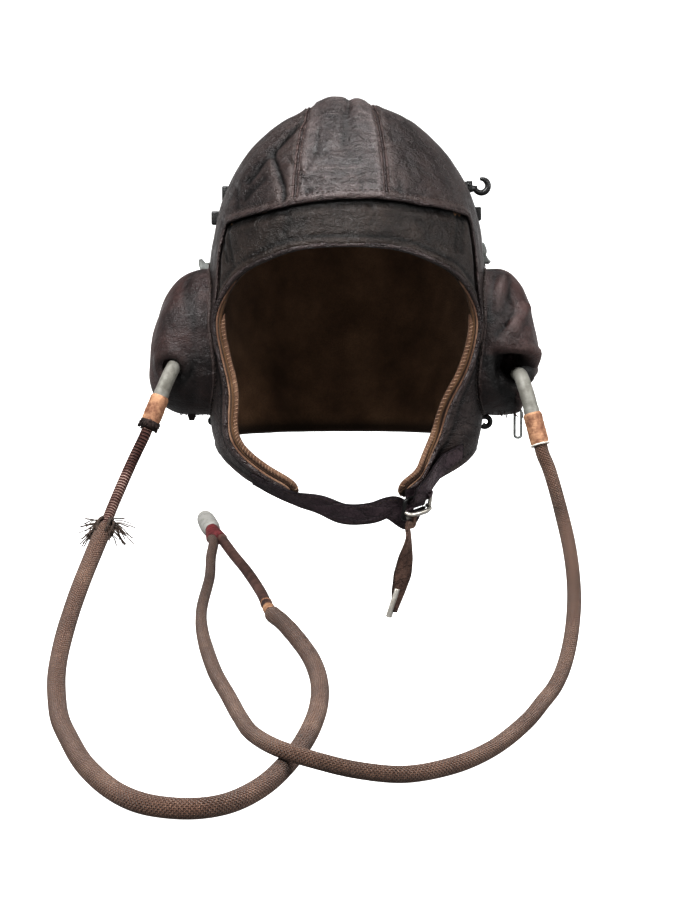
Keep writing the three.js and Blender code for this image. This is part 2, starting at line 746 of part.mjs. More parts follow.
function onWall(side, back, down, proud) {
  const share = -back / (back > 0 ? BACK_REACH : FRONT_REACH);
  return sidePoint(side, share, down / HELMET_HEIGHT, -proud);
}

function buildFittings() {
  for (const row of FITTINGS) {
    const box = new THREE.BoxGeometry(row.proud + ROOT, row.deep, row.tall);
    const face = onWall(row.side, row.back, row.down, row.proud);
    const middle = new THREE.Vector3(face.x - row.side * (row.proud + ROOT) / 2, face.y, face.z);
    addPiece(worn, row.name, placed(box, middle).subtract(seatForm), LOOKS.black);
  }
}

// A flat hook: part of a ring, from one turn to another, in a plane that faces forward
function hookPlate(radius, wire, from, to, thick) {
  const shape = new THREE.Shape();
  shape.absarc(0, 0, radius + wire / 2, from, to, false);
  shape.absarc(0, 0, radius - wire / 2, to, from, true);
  const geometry = new THREE.ExtrudeGeometry(shape, { depth: thick, bevelEnabled: false, curveSegments: 8 });
  geometry.translate(0, 0, -thick / 2);
  geometry.rotateX(Math.PI / 2);
  return geometry;
}

// Each hook's place, the length and thickness of its stem, and the half turns its curl spans
const UPPER_HOOK = {
  back: 12, down: 0.2222 * HELMET_HEIGHT, stem: 7, thick: 3, plate: 2.4, from: -0.85, to: 0.55,
};
const LOWER_HOOK = {
  back: 2, down: CUP_LOW + 2.5, stem: 3, thick: 2.4, radius: 2.9, wire: 2.2, from: -0.75, to: 0.5,
};

// A block that stands on the wall's right side, proud of it, with its root inside the wall
function rootedBlock(seat, proud, deep, tall, lift) {
  const block = new THREE.BoxGeometry(proud + ROOT, deep, tall);
  return placed(block, seat.clone().add(new THREE.Vector3((proud - ROOT) / 2, 0, lift)));
}

function buildHooks() {
  const seat = onWall(1, UPPER_HOOK.back, UPPER_HOOK.down, 0);
  const centre = seat.clone().add(new THREE.Vector3(UPPER_HOOK.stem + HOOK_RADIUS - 0.6, 0, 2.2));
  const turns = [UPPER_HOOK.from * Math.PI, UPPER_HOOK.to * Math.PI];
  const upper = joined(
    rootedBlock(seat, UPPER_HOOK.stem, UPPER_HOOK.thick + 2, 5, 0),
    rootedBlock(seat, UPPER_HOOK.plate, 9, 13, -2),
    placed(hookPlate(HOOK_RADIUS, HOOK_WIRE, ...turns, UPPER_HOOK.thick), centre),
  );
  addPiece(worn, 'upper_hook_right', upper.subtract(seatForm), LOOKS.black);

  const low = onWall(1, LOWER_HOOK.back, LOWER_HOOK.down, 0);
  const curl = low.clone().add(new THREE.Vector3(LOWER_HOOK.stem - 0.8, 0, -LOWER_HOOK.radius - 0.6));
  const bends = [LOWER_HOOK.from * Math.PI, LOWER_HOOK.to * Math.PI];
  const lower = joined(
    rootedBlock(low, LOWER_HOOK.stem, 4, 3, 0),
    placed(hookPlate(LOWER_HOOK.radius, LOWER_HOOK.wire, ...bends, LOWER_HOOK.thick), curl),
  );
  addPiece(worn, 'lower_hook_right', lower.subtract(seatForm), LOOKS.black);
}

// Grey clips above the ear cups, each a small bent plate with a raised outer lip
const CLIPS = [
  { name: 'clip_left', side: -1, back: 6, down: CUP_TOP - 4, tall: 9 },
  { name: 'clip_right', side: 1, back: 6, down: CUP_TOP - 11.5, tall: 12 },
];

function buildClips() {
  for (const row of CLIPS) {
    const outline = new THREE.Shape([
      new THREE.Vector2(-ROOT, -row.tall / 2),
      new THREE.Vector2(CLIP_PROUD * 0.6, -row.tall / 2),
      new THREE.Vector2(CLIP_PROUD, -row.tall * 0.36),
      new THREE.Vector2(CLIP_PROUD * 0.5, row.tall * 0.1),
      new THREE.Vector2(CLIP_PROUD * 0.75, row.tall / 2),
      new THREE.Vector2(-ROOT, row.tall / 2),
    ]);
    const geometry = new THREE.ExtrudeGeometry(outline, { depth: CLIP_DEEP, bevelEnabled: false });
    geometry.translate(0, 0, -CLIP_DEEP / 2);
    geometry.rotateX(Math.PI / 2);
    if (row.side < 0) geometry.rotateZ(Math.PI);
    const seat = onWall(row.side, row.back, row.down, 0);
    addPiece(worn, row.name, placed(geometry, seat).subtract(seatForm), LOOKS.grey);
  }
}

// Zip pulls hang under the ear cups: a wire loop on the right, a short torn tag on the left
const PULLS = {
  left: { out: 0.33, back: -0.08, wide: 5.5, long: 7 },
  right: { out: 0.62, back: -0.08, wide: 5.5, long: 17 },
};

function buildZipPulls() {
  for (const word of ['left', 'right']) {
    const side = sideOf(word);
    const centre = cupCentre(side);
    const pull = PULLS[word];
    const top = pull.long / 2;
    const half = pull.wide / 2;
    const outline = new THREE.Shape();
    outline.absarc(0, half - top, half, Math.PI, 2 * Math.PI, false);
    outline.lineTo(half, top);
    outline.lineTo(-half, top);
    if (side > 0) {
      const inside = half - PULL_WIRE;
      const hole = new THREE.Path();
      hole.absarc(0, half - top, inside, Math.PI, 2 * Math.PI, false);
      hole.lineTo(inside, top - 2 * PULL_WIRE);
      hole.lineTo(-inside, top - 2 * PULL_WIRE);
      outline.holes.push(hole);
    }
    const solid = { depth: PULL_WIRE, bevelEnabled: false, curveSegments: 6 };
    const geometry = new THREE.ExtrudeGeometry(outline, solid);
    geometry.translate(0, 0, -PULL_WIRE / 2);
    geometry.rotateX(Math.PI / 2);
    const place = new THREE.Vector3(
      centre.x + side * pull.out * CUP_DEPTH,
      centre.y + pull.back * CUP_LENGTH,
      centre.z - CUP_HEIGHT / 2 + PULL_WIRE - top,
    );
    const hung = placed(geometry, place).subtract(cupForm(side, -GAP));
    addPiece(worn, `zip_pull_${word}`, hung, LOOKS.grey);
  }
}

// Hose routes in the resting frame, each point chosen along its length, from sleeve to connector.
// The hoses come down to lie on a level FLOOR.
const FLOOR = -288;

const LEFT_TUBE_ROUTE = [
  [-124.1, -90, -198.6], [-133.6, -113, -220.3],
];

const LEFT_BRAID_ROUTE = [
  [-136.6, -124.5, -228.2], [-140.1, -138, -236.5], [-146.6, -174, -253.8], [-149.6, -211, -267.6],
  [-149.3, -239, -276.6], [-145.4, -267, -282.3], [-140.8, -290, -283.3], [-134.8, -311, -283.3],
  [-119.9, -354, -283.3], [-101, -387, -283.3], [-86.9, -399, -283.3], [-69, -403, -283.3],
  [-55, -398, -283.3], [-41, -380.5, -283.3], [-27.5, -344.7, -283.3], [-17.5, -295, -283.3],
  [-14.6, -246, -283.3], [-18.7, -200, -283.3], [-27.5, -160, -283.3], [-37.2, -126, -283.4],
];

const LEFT_TAIL_ROUTE = [
  [-43.5, -107, -284.2], [-51.8, -60, -284.8], [-62, -14, -284.8], [-73, 27, -284.4],
];

const RIGHT_ROUTE = [
  [116.6, -87, -203.4], [122.3, -108, -225.6], [124.8, -130, -241.5], [124.3, -157, -257.1],
  [120.1, -186, -269.9], [113.7, -213, -279.2], [106, -238, -283.3], [97, -262, -284.1],
  [86, -291, -284.1], [65, -330, -284.1], [45, -351, -284.1], [24, -362, -283.5],
  [3, -364.5, -280.5], [-13, -364.5, -276.6], [-31, -355.5, -274.2], [-45, -327, -277.3],
  [-53, -291, -281.8], [-61, -252, -284.1], [-70, -214, -284.1],
];

const RIGHT_TAIL_ROUTE = [
  [-81, -145, -284.3], [-84.6, -100, -284.6], [-84.5, -25, -284.8], [-86.5, 20, -284.4],
];

const JOINT_PLACE = new THREE.Vector3(-84.8, 55, FLOOR + FERRULE_WIDTH / 2);
const JOINT_AXIS = new THREE.Vector3(-0.2, 0.98, 0).normalize();
const JOINT_SIDE = new THREE.Vector3(0.98, 0.2, 0).normalize();

function routeOf(rows) {
  return rows.map((row) => new THREE.Vector3(...row));
}

// A hose begins just past the end of its sleeve and runs straight on, in the resting frame
function hoseStarts(word) {
  const ends = sleeveEnds(word);
  return [GAP, 6].map((step) => ends.low.clone().addScaledVector(ends.along, step).applyEuler(worn.rotation));
}

// Two points that lead a hose squarely into its side of the joint
function inlets(side) {
  const place = JOINT_PLACE.clone().addScaledVector(JOINT_SIDE, (side * INLET_SPACING) / 2);
  return [-8, -GAP].map((step) => place.clone().addScaledVector(JOINT_AXIS, step));
}

// One stretch of a hose: the part of its whole curve between two shares of its length
class Stretch extends THREE.Curve {
  constructor(whole, from, to) {
    super();
    Object.assign(this, { whole, from, to });
  }

  getPoint(share) {
    return this.whole.getPointAt(this.from + share * (this.to - this.from));
  }
}

function shareNearest(curve, place) {
  let best = 0;
  const steps = 2000;
  for (let step = 0; step <= steps; step += 1) {
    const away = curve.getPointAt(step / steps).distanceTo(place);
    if (away < curve.getPointAt(best).distanceTo(place)) best = step / steps;
  }
  return best;
}

function hoseStretch(whole, from, to, width, sides) {
  const length = whole.getLength() * (to - from);
  const steps = Math.ceil(length / (2.6 * width));
  return tubeAlong(new Stretch(whole, from, to), width, steps, sides);
}

function buildHoses() {
  const left = new THREE.CatmullRomCurve3([
    ...hoseStarts('left'),
    ...routeOf([...LEFT_TUBE_ROUTE, ...LEFT_BRAID_ROUTE, ...LEFT_TAIL_ROUTE]),
    ...inlets(1),
  ], false, 'centripetal');
  left.arcLengthDivisions = 2000;
  const gap = GAP / left.getLength();
  const braidStart = shareNearest(left, new THREE.Vector3(...LEFT_BRAID_ROUTE[0]));
  const tailStart = shareNearest(left, new THREE.Vector3(...LEFT_TAIL_ROUTE[0]));
  const bare = hoseStretch(left, 0, braidStart - gap, TUBE_WIDTH, 10);
  const braid = hoseStretch(left, braidStart, tailStart - gap, LEFT_HOSE_WIDTH, 8);
  const tail = hoseStretch(left, tailStart, 1, TAIL_WIDTH, 8);
  addPiece(laid, 'hose_left_tube', bare, LOOKS.rubber);
  addPiece(laid, 'hose_left_braid', braid, LOOKS.braid);
  addPiece(laid, 'hose_left_tail', tail, LOOKS.rubber);
  const right = new THREE.CatmullRomCurve3([
    ...hoseStarts('right'),
    ...routeOf([...RIGHT_ROUTE, ...RIGHT_TAIL_ROUTE]),
    ...inlets(-1),
  ], false, 'centripetal');
  right.arcLengthDivisions = 2000;
  const thinStart = shareNearest(right, new THREE.Vector3(...RIGHT_TAIL_ROUTE[0]));
  const wide = hoseStretch(right, 0, thinStart - gap, RIGHT_HOSE_WIDTH, 8);
  const thin = hoseStretch(right, thinStart, 1, TAIL_WIDTH, 8);
  addPiece(laid, 'hose_right', wide, LOOKS.braid);
  addPiece(laid, 'hose_right_tail', thin, LOOKS.braid);
}

// The two hoses meet in a taped joint, which runs into a pale metal ferrule
const FERRULE_PROFILE = [
  { wide: 0, along: 0 },
  { wide: 0.78, along: 0 },
  { wide: 0.95, along: 0.10 },
  { wide: 1, along: 0.30 },
  { wide: 0.97, along: 0.72 },
  { wide: 0.80, along: 0.93 },
  { wide: 0.58, along: 1 },
  { wide: 0, along: 1 },
];

function buildConnector() {
  const sides = 14;
  const rings = [];
  for (const share of [0, 0.45, 1]) {
    const wide = THREE.MathUtils.lerp((INLET_SPACING + TAIL_WIDTH) / 2 + 0.4, FERRULE_WIDTH * 0.36, share);
    const tall = THREE.MathUtils.lerp(TAIL_WIDTH / 2 + 0.8, FERRULE_WIDTH * 0.36, share);
    const ring = [];
    for (let step = 0; step < sides; step += 1) {
      const turn = (2 * Math.PI * step) / sides;
      ring.push(JOINT_PLACE.clone()
        .addScaledVector(JOINT_AXIS, share * TAPE_LENGTH)
        .addScaledVector(JOINT_SIDE, wide * Math.cos(turn))
        .add(new THREE.Vector3(0, 0, tall * Math.sin(turn))));
    }
    rings.push(ring);
  }
  const tape = solidOf(ringSurface(rings, centreOf(rings[0]), centreOf(rings[2])));
  addPiece(laid, 'joint_tape', tape, LOOKS.tape);

  const profile = FERRULE_PROFILE.map((row) => new THREE.Vector2(
    (row.wide * FERRULE_WIDTH) / 2,
    row.along * FERRULE_LENGTH,
  ));
  const ferrule = new THREE.LatheGeometry(profile, 16);
  ferrule.applyQuaternion(new THREE.Quaternion().setFromUnitVectors(new THREE.Vector3(0, 1, 0), JOINT_AXIS));
  const base = JOINT_PLACE.clone().addScaledVector(JOINT_AXIS, TAPE_LENGTH + GAP);
  ferrule.translate(base.x, base.y, base.z);
  addPiece(laid, 'ferrule', solidOf(ferrule), LOOKS.ferrule);
}

buildCrownAndBrow();
buildLining();
buildCups();
buildChinStrap();
addPiece(worn, 'buckle', buckleFrame(0), LOOKS.silver);
buildBuckleStrap();
buildStrapTip();
buildFittings();
buildHooks();
buildClips();
buildZipPulls();
buildHoses();
buildConnector();

const helmet = new THREE.Group();
helmet.add(worn, laid);

export default helmet;
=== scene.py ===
"""Dresses the leather flying helmet: leather panels, lining, ear cups, hoses, straps and fittings."""

import math

import bpy
import numpy as np
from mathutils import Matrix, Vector, noise


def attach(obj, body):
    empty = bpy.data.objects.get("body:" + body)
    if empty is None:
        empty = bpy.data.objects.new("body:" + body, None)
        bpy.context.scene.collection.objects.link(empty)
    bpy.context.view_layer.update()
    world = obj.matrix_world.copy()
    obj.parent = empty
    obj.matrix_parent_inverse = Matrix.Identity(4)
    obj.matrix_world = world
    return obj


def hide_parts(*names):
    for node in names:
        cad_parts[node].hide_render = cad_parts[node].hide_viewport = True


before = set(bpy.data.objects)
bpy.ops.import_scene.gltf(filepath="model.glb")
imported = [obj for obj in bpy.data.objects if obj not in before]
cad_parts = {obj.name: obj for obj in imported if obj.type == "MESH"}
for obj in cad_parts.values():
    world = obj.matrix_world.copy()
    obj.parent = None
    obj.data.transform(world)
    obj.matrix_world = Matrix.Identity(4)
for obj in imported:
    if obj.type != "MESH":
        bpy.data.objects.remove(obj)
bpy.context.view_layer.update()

# Camera, found from the photograph: an 80 mm lens on a 36 mm sensor, 12 degrees down
camera = bpy.data.objects.new("camera", bpy.data.cameras.new("camera"))
bpy.context.scene.collection.objects.link(camera)
camera.data.lens = 80
camera.data.sensor_width = 36
camera.data.clip_start = 0.05
camera.location = (-0.0057, -1.2157, 0.0478)
camera.rotation_euler = (math.radians(78), 0, 0)
bpy.context.scene.camera = camera

# Blender's metres in a millimetre
MM = 0.001

# The sizes and tables of the model's source, in millimetres
LEATHER = 1.8
LINING = 1.4
GAP = 0.3
CROWN_TOP = LINING + GAP + LEATHER
HALF_BREADTH = 82.5
FRONT_REACH = 98.5
BACK_REACH = 103
HELMET_HEIGHT = 234
LEAN = math.radians(10)
BROW_TILT = math.radians(2)
LINING_SHOWS = 2.6
EAR_HOLE = 44
CHEEK_TOP = 0.47
FLAP_END = 0.97
BAND_DEPTH = 0.62
BAND_TUCK = 3
CUP_LENGTH = 84
CUP_HEIGHT = 84
CUP_DEPTH = 32.5
CUP_LEATHER = 2.2
CUP_CENTRE = (82.5, 2, CROWN_TOP - 144.5)
STUB_WIDTH = 8.6
SLEEVE_WIDTH = 11
SLEEVE_LENGTH = 17
TUBE_WIDTH = 6.2
LEFT_HOSE_WIDTH = 9.4
RIGHT_HOSE_WIDTH = 7.8
TAIL_WIDTH = 6.4
HOSE_STEP = 0.9
HOSE_SIDES = 24
INLET_SPACING = 6.8
TAPE_LENGTH = 22
FERRULE_WIDTH = 12.6
FERRULE_LENGTH = 38
STRAP_WIDTH = 15
STRAP_THICKNESS = 1.8
BUCKLE_WIRE = 2.2
BUCKLE_HEIGHT = 12.5
TIP_LENGTH = 15
HOOK_RADIUS = 4.2
RIB_PITCH = 1.9

# down, wide, front, back, square
HEAD_SECTIONS = np.array([
    (0.000, 0.00, 0.00, 0.00, 2.0),
    (0.019, 0.22, 0.22, 0.25, 2.0),
    (0.066, 0.50, 0.48, 0.51, 2.0),
    (0.143, 0.725, 0.72, 0.74, 2.1),
    (0.254, 0.90, 0.92, 0.93, 2.2),
    (0.400, 0.985, 0.995, 1.00, 2.3),
    (0.575, 1.00, 1.00, 0.96, 2.3),
    (0.750, 0.995, 0.96, 0.86, 2.3),
    (0.870, 0.96, 0.92, 0.77, 2.25),
    (0.945, 0.83, 0.845, 0.71, 2.2),
    (1.010, 0.64, 0.745, 0.66, 2.2),
    (1.090, 0.45, 0.60, 0.58, 2.2),
])
DOWN, WIDE, FRONT, BACK, SQUARE = range(5)

# across, forward, down, spread, out
BULGES = [
    (-0.12, 0.05, 0.00, 0.17, 0.042),
    (0.92, 0.50, 0.57, 0.20, 0.030),
    (-0.92, 0.50, 0.57, 0.20, 0.035),
    (-0.88, 0.54, 0.75, 0.22, -0.030),
    (0.84, 0.62, 0.815, 0.31, -0.140),
    (0.72, 0.55, 0.925, 0.24, -0.085),
    (0.55, 0.66, 1.00, 0.16, 0.030),
]

# forward, down
EDGE_OUTLINE = [
    (1.20, 0.385), (1.00, 0.397), (0.86, 0.432), (0.72, 0.463), (0.60, 0.504), (0.525, 0.555),
    (0.505, 0.640), (0.52, 0.740), (0.51, 0.850), (0.545, 0.900), (0.61, 0.950), (0.66, 0.984),
    (0.61, 1.000), (0.42, 0.965), (0.15, 0.905), (-0.25, 0.868), (-0.70, 0.855), (-1.25, 0.850),
]

# forward, right seam, left seam
CENTRE_PANEL = [
    (1.2, 0.28, 0.39), (0.9, 0.265, 0.36), (0.1, 0.17, 0.26), (-0.6, 0.21, 0.27), (-1.3, 0.31, 0.36),
]

# forward, down
HEM = [(1.2, 0.265), (0.97, 0.280), (0.86, 0.302), (0.50, 0.322)]

# Hose routes in the resting frame
LEFT_TUBE_ROUTE = [(-124.1, -90, -198.6), (-133.6, -113, -220.3)]
LEFT_BRAID_ROUTE = [
    (-136.6, -124.5, -228.2), (-140.1, -138, -236.5), (-146.6, -174, -253.8), (-149.6, -211, -267.6),
    (-149.3, -239, -276.6), (-145.4, -267, -282.3), (-140.8, -290, -283.3), (-134.8, -311, -283.3),
    (-119.9, -354, -283.3), (-101, -387, -283.3), (-86.9, -399, -283.3), (-69, -403, -283.3),
    (-55, -398, -283.3), (-41, -380.5, -283.3), (-27.5, -344.7, -283.3), (-17.5, -295, -283.3),
    (-14.6, -246, -283.3), (-18.7, -200, -283.3), (-27.5, -160, -283.3), (-37.2, -126, -283.4),
]
LEFT_TAIL_ROUTE = [
    (-43.5, -107, -284.2), (-51.8, -60, -284.8), (-62, -14, -284.8), (-73, 27, -284.4),
]
RIGHT_ROUTE = [
    (116.6, -87, -203.4), (122.3, -108, -225.6), (124.8, -130, -241.5), (124.3, -157, -257.1),
    (120.1, -186, -269.9), (113.7, -213, -279.2), (106, -238, -283.3), (97, -262, -284.1),
    (86, -291, -284.1), (65, -330, -284.1), (45, -351, -284.1), (24, -362, -283.5),
    (3, -364.5, -280.5), (-13, -364.5, -276.6), (-31, -355.5, -274.2), (-45, -327, -277.3),
    (-53, -291, -281.8), (-61, -252, -284.1), (-70, -214, -284.1),
]
RIGHT_TAIL_ROUTE = [
    (-81, -145, -284.3), (-84.6, -100, -284.6), (-84.5, -25, -284.8), (-86.5, 20, -284.4),
]
FLOOR = -288

# The tan wraps on the left hose's tail and the worn end of its braid, in steps of the hose from the tail
TAIL_WRAPS = [(4, 15), (24, 27)]
WORN_STEPS = 90
LOOSE_THREADS = 60
RUFFLES = 9

# out, back, up as shares of the cup's sizes
STUB_ROUTE = {
    "left": [(0.56, -0.26, -0.17), (0.585, -0.45, -0.185), (0.69, -0.53, -0.28), (0.81, -0.56, -0.40)],
    "right": [(0.56, -0.26, -0.23), (0.59, -0.43, -0.25), (0.68, -0.515, -0.37), (0.775, -0.545, -0.518)],
}
CUP_DENTS = [
    (1, 0.62, -0.47, -0.24, 0.15, 0.11),
    (1, 0.60, -0.46, -0.03, 0.12, -0.035),
    (-1, 0.55, -0.48, -0.20, 0.10, 0.03),
]


# Vectors and curves


def vec(*values):
    return np.array(values, float)


def unit(v):
    return v / np.maximum(np.linalg.norm(v, axis=-1, keepdims=True), 1e-12)


def side_of(word):
    return -1 if word == "left" else 1


def cup_point(side, out, back, up):
    """A place on or in an ear cup, in shares of its sizes."""
    x, y, z = CUP_CENTRE
    return vec(side * (x + out * CUP_DEPTH), y + back * CUP_LENGTH, z + up * CUP_HEIGHT)


def eased(share):
    """The share kept from 0 to 1, with a soft start and end."""
    share = np.clip(share, 0, 1)
    return share * share * (3 - 2 * share)


def fade(value, start, length):
    """From 0 at the start to 1 a length further on."""
    return np.clip((value - start) / length, 0, 1)


def leaned(points):
    """From the helmet's own upright frame to the resting frame, both in millimetres."""
    p = np.asarray(points, float)
    y = p[..., 1] * math.cos(LEAN) + p[..., 2] * math.sin(LEAN)
    z = -p[..., 1] * math.sin(LEAN) + p[..., 2] * math.cos(LEAN)
    return np.stack([p[..., 0], y, z], -1)


def smoothed(points, count):
    """A centripetal curve through the points, sampled count times between each two."""
    p = np.asarray(points, float)
    p = np.vstack([2 * p[0] - p[1], p, 2 * p[-1] - p[-2]])
    out = []
    for i in range(1, len(p) - 2):
        a, b, c, d = p[i - 1 : i + 3]
        ab, bc, cd = (max(np.linalg.norm(v), 1e-6) ** 0.5 for v in (b - a, c - b, d - c))
        start = ((b - a) / ab - (c - a) / (ab + bc) + (c - b) / bc) * bc
        end = ((c - b) / bc - (d - b) / (bc + cd) + (d - c) / cd) * bc
        t = np.arange(count)[:, None] / count
        square, cube = 3 * (c - b) - 2 * start - end, 2 * (b - c) + start + end
        out.append(b + start * t + square * t**2 + cube * t**3)
    return np.vstack(out + [p[-2:-1]])


def evenly(points, step):
    """The same line with points a step apart, and the length of it."""
    lengths = np.concatenate([[0], np.cumsum(np.linalg.norm(np.diff(points, axis=0), axis=1))])
    count = max(int(round(lengths[-1] / step)), 1)
    at = np.linspace(0, lengths[-1], count + 1)
    return np.stack([np.interp(at, lengths, points[:, k]) for k in range(points.shape[1])], -1), lengths[-1]


def wobble(points, size, seed=0.0):
    """Smooth noise between -1 and 1 at each point, with features of that size in millimetres."""
    return np.array([noise.noise(Vector((p[0] / size + seed, p[1] / size, p[2] / size))) for p in points])


# Meshes


def add_mesh(name, points, faces, looks, nodes=(), uv=None, smooth=True, face_looks=None):
    """A piece from points in millimetres of the resting frame."""
    mesh = bpy.data.meshes.new(name)
    mesh.from_pydata((np.asarray(points) * MM).tolist(), [], [list(map(int, f)) for f in faces])
    for look in looks:
        mesh.materials.append(look)
    if face_looks is not None:
        mesh.polygons.foreach_set("material_index", np.asarray(face_looks, np.int32))
    if uv is not None:
        layer = mesh.uv_layers.new(name="along")
        layer.data.foreach_set("uv", np.asarray(uv, np.float32).ravel())
    if smooth:
        mesh.shade_smooth()
    mesh.update()
    piece = bpy.data.objects.new(name, mesh)
    bpy.context.scene.collection.objects.link(piece)
    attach(piece, "root")
    if nodes:
        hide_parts(*nodes)
    return piece


def apply_modifiers(piece):
    bpy.context.view_layer.update()
    solid = piece.evaluated_get(bpy.context.evaluated_depsgraph_get())
    mesh = bpy.data.meshes.new_from_object(solid)
    piece.modifiers.clear()
    piece.data = mesh


def frames_along(path):
    """A level sideways direction and one square to it, carried along a path without twist."""
    along = unit(np.gradient(path, axis=0))
    first = np.cross(along[0], vec(0, 0, 1))
    if np.linalg.norm(first) < 0.1:
        first = vec(1, 0, 0)
    across = [unit(first - along[0] * (first @ along[0]))]
    for t in along[1:]:
        v = across[-1] - t * (across[-1] @ t)
        across.append(unit(v))
    across = np.array(across)
    return across, np.cross(along, across)


def ring_quads(rings, sides, closed=False):
    """Faces between rings of points, and from the last ring to the first if closed."""
    i, j = np.meshgrid(np.arange(rings if closed else rings - 1), np.arange(sides), indexing="ij")
    k, n = (j + 1) % sides, (i + 1) % rings
    return np.stack([i * sides + j, i * sides + k, n * sides + k, n * sides + j], -1).reshape(-1, 4)


def flat_ends(rings, sides):
    """One face over the first ring and one over the last."""
    return [list(range(sides))[::-1], [(rings - 1) * sides + j for j in range(sides)]]


def halved(quads):
    """Two triangles for each face of four corners."""
    return np.concatenate([quads[:, :3], quads[:, [0, 2, 3]]])


def tube(path, radius, sides=24, caps=True, shape=None):
    """Points, faces and face corners' UVs of a tube. The radius is one number or one for each point.
    shape(share, turn) multiplies the radius around the tube."""
    path = np.asarray(path, float)
    count = len(path)
    radius = np.broadcast_to(np.asarray(radius, float), (count,))
    across, up = frames_along(path)
    lengths = np.concatenate([[0], np.cumsum(np.linalg.norm(np.diff(path, axis=0), axis=1))])
    turn = np.arange(sides) * 2 * math.pi / sides
    scale = np.ones((count, sides))
    if shape is not None:
        scale = shape(lengths[:, None], turn[None, :])
    ring = across[:, None] * np.cos(turn)[None, :, None] + up[:, None] * np.sin(turn)[None, :, None]
    points = (path[:, None] + ring * (radius[:, None] * scale)[..., None]).reshape(-1, 3)
    faces = ring_quads(count, sides).tolist()
    i, j = np.meshgrid(np.arange(count - 1), np.arange(sides), indexing="ij")
    corners = [(0, 0), (1, 0), (1, 1), (0, 1)]
    uv = np.stack([np.stack([(j + a) / sides, lengths[i + b]], -1) for a, b in corners], 2)
    uv = uv.reshape(-1, 2).tolist()
    if caps:
        points = np.vstack([points, path[:1], path[-1:]])
        start = count * sides
        for step in range(sides):
            after = (step + 1) % sides
            faces.append([start, after, step])
            faces.append([start + 1, start - sides + step, start - sides + after])
            uv += [[0, 0]] * 6
    return points, faces, uv


def add_tubes(name, tubes, look, nodes=(), upright=True):
    """One piece from several tubes, given in the upright frame or in the resting one."""
    faces, base = [], 0
    for one, its_faces, _ in tubes:
        faces += [[int(i) + base for i in face] for face in its_faces]
        base += len(one)
    points = np.vstack([one for one, _, _ in tubes])
    return add_mesh(name, leaned(points) if upright else points, faces, [look], nodes)


# Materials


def times(colour, factor):
    return tuple(c * factor for c in colour)


class Look:
    """Builds one procedural material."""

    def __init__(self, name):
        self.material = bpy.data.materials.new(name)
        self.material.use_nodes = True
        self.nodes = self.material.node_tree.nodes
        self.links = self.material.node_tree.links
        self.shader = self.nodes["Principled BSDF"]
        self.where = None

    def set(self, **values):
        for name, value in values.items():
            self.shader.inputs[name.replace("_", " ")].default_value = value
        return self

    def join(self, source, target):
        self.links.new(source, target)

    def coords(self):
        if self.where is None:
            self.where = self.nodes.new("ShaderNodeTexCoord")
        return self.where.outputs["Object"]

    def uv(self):
        self.coords()
        return self.where.outputs["UV"]

    def form(self):
        """Above a half on ridges, below it in hollows."""
        return self.nodes.new("ShaderNodeNewGeometry").outputs["Pointiness"]

    def turn_and_length(self):
        """The two UV coordinates of a tube: the share of a turn, and the length in millimetres."""
        parts = self.nodes.new("ShaderNodeSeparateXYZ")
        self.join(self.uv(), parts.inputs[0])
        return parts.outputs["X"], parts.outputs["Y"]

    def mark(self, name):
        """How far a point of the surface is marked, from 0 to 1."""
        node = self.nodes.new("ShaderNodeAttribute")
        node.attribute_name = name
        return node.outputs["Fac"]

    def noise(self, scale, detail=4, rough=0.55, stretch=None):
        node = self.nodes.new("ShaderNodeTexNoise")
        node.inputs["Scale"].default_value = scale
        node.inputs["Detail"].default_value = detail
        node.inputs["Roughness"].default_value = rough
        source = self.coords()
        if stretch:
            mapping = self.nodes.new("ShaderNodeMapping")
            mapping.inputs["Scale"].default_value = stretch
            self.join(source, mapping.inputs["Vector"])
            source = mapping.outputs["Vector"]
        self.join(source, node.inputs["Vector"])
        return node.outputs["Fac"]

    def cells(self, scale):
        node = self.nodes.new("ShaderNodeTexVoronoi")
        node.feature = "DISTANCE_TO_EDGE"
        node.inputs["Scale"].default_value = scale
        self.join(self.coords(), node.inputs["Vector"])
        return node.outputs["Distance"]

    def math(self, operation, a, b=None):
        node = self.nodes.new("ShaderNodeMath")
        node.operation = operation
        for index, value in enumerate([a, b]):
            if value is None:
                continue
            if isinstance(value, (int, float)):
                node.inputs[index].default_value = value
            else:
                self.join(value, node.inputs[index])
        return node.outputs[0]

    def ramp(self, factor, stops):
        node = self.nodes.new("ShaderNodeValToRGB")
        ramp = node.color_ramp
        while len(ramp.elements) < len(stops):
            ramp.elements.new(0.5)
        for element, (place, colour) in zip(ramp.elements, stops):
            element.position = place
            element.color = (*colour, 1)
        self.join(factor, node.inputs["Fac"])
        return node.outputs["Color"]

    def span(self, factor, low, high, to_low, to_high):
        node = self.nodes.new("ShaderNodeMapRange")
        for name, value in [("From Min", low), ("From Max", high), ("To Min", to_low), ("To Max", to_high)]:
            node.inputs[name].default_value = value
        self.join(factor, node.inputs["Value"])
        return node.outputs["Result"]

    def mix(self, factor, a, b):
        node = self.nodes.new("ShaderNodeMix")
        node.data_type = "RGBA"
        if isinstance(factor, (int, float)):
            node.inputs[0].default_value = factor
        else:
            self.join(factor, node.inputs[0])
        for index, value in [(6, a), (7, b)]:
            if isinstance(value, tuple):
                node.inputs[index].default_value = (*value, 1)
            else:
                self.join(value, node.inputs[index])
        return node.outputs[2]

    def bump(self, height, depth, strength=1.0, under=None):
        node = self.nodes.new("ShaderNodeBump")
        node.inputs["Distance"].default_value = depth
        node.inputs["Strength"].default_value = strength
        self.join(height, node.inputs["Height"])
        if under is not None:
            self.join(under, node.inputs["Normal"])
        return node.outputs["Normal"]

    def feed(self, **outputs):
        for name, output in outputs.items():
            self.join(output, self.shader.inputs[name.replace("_", " ")])
        return self


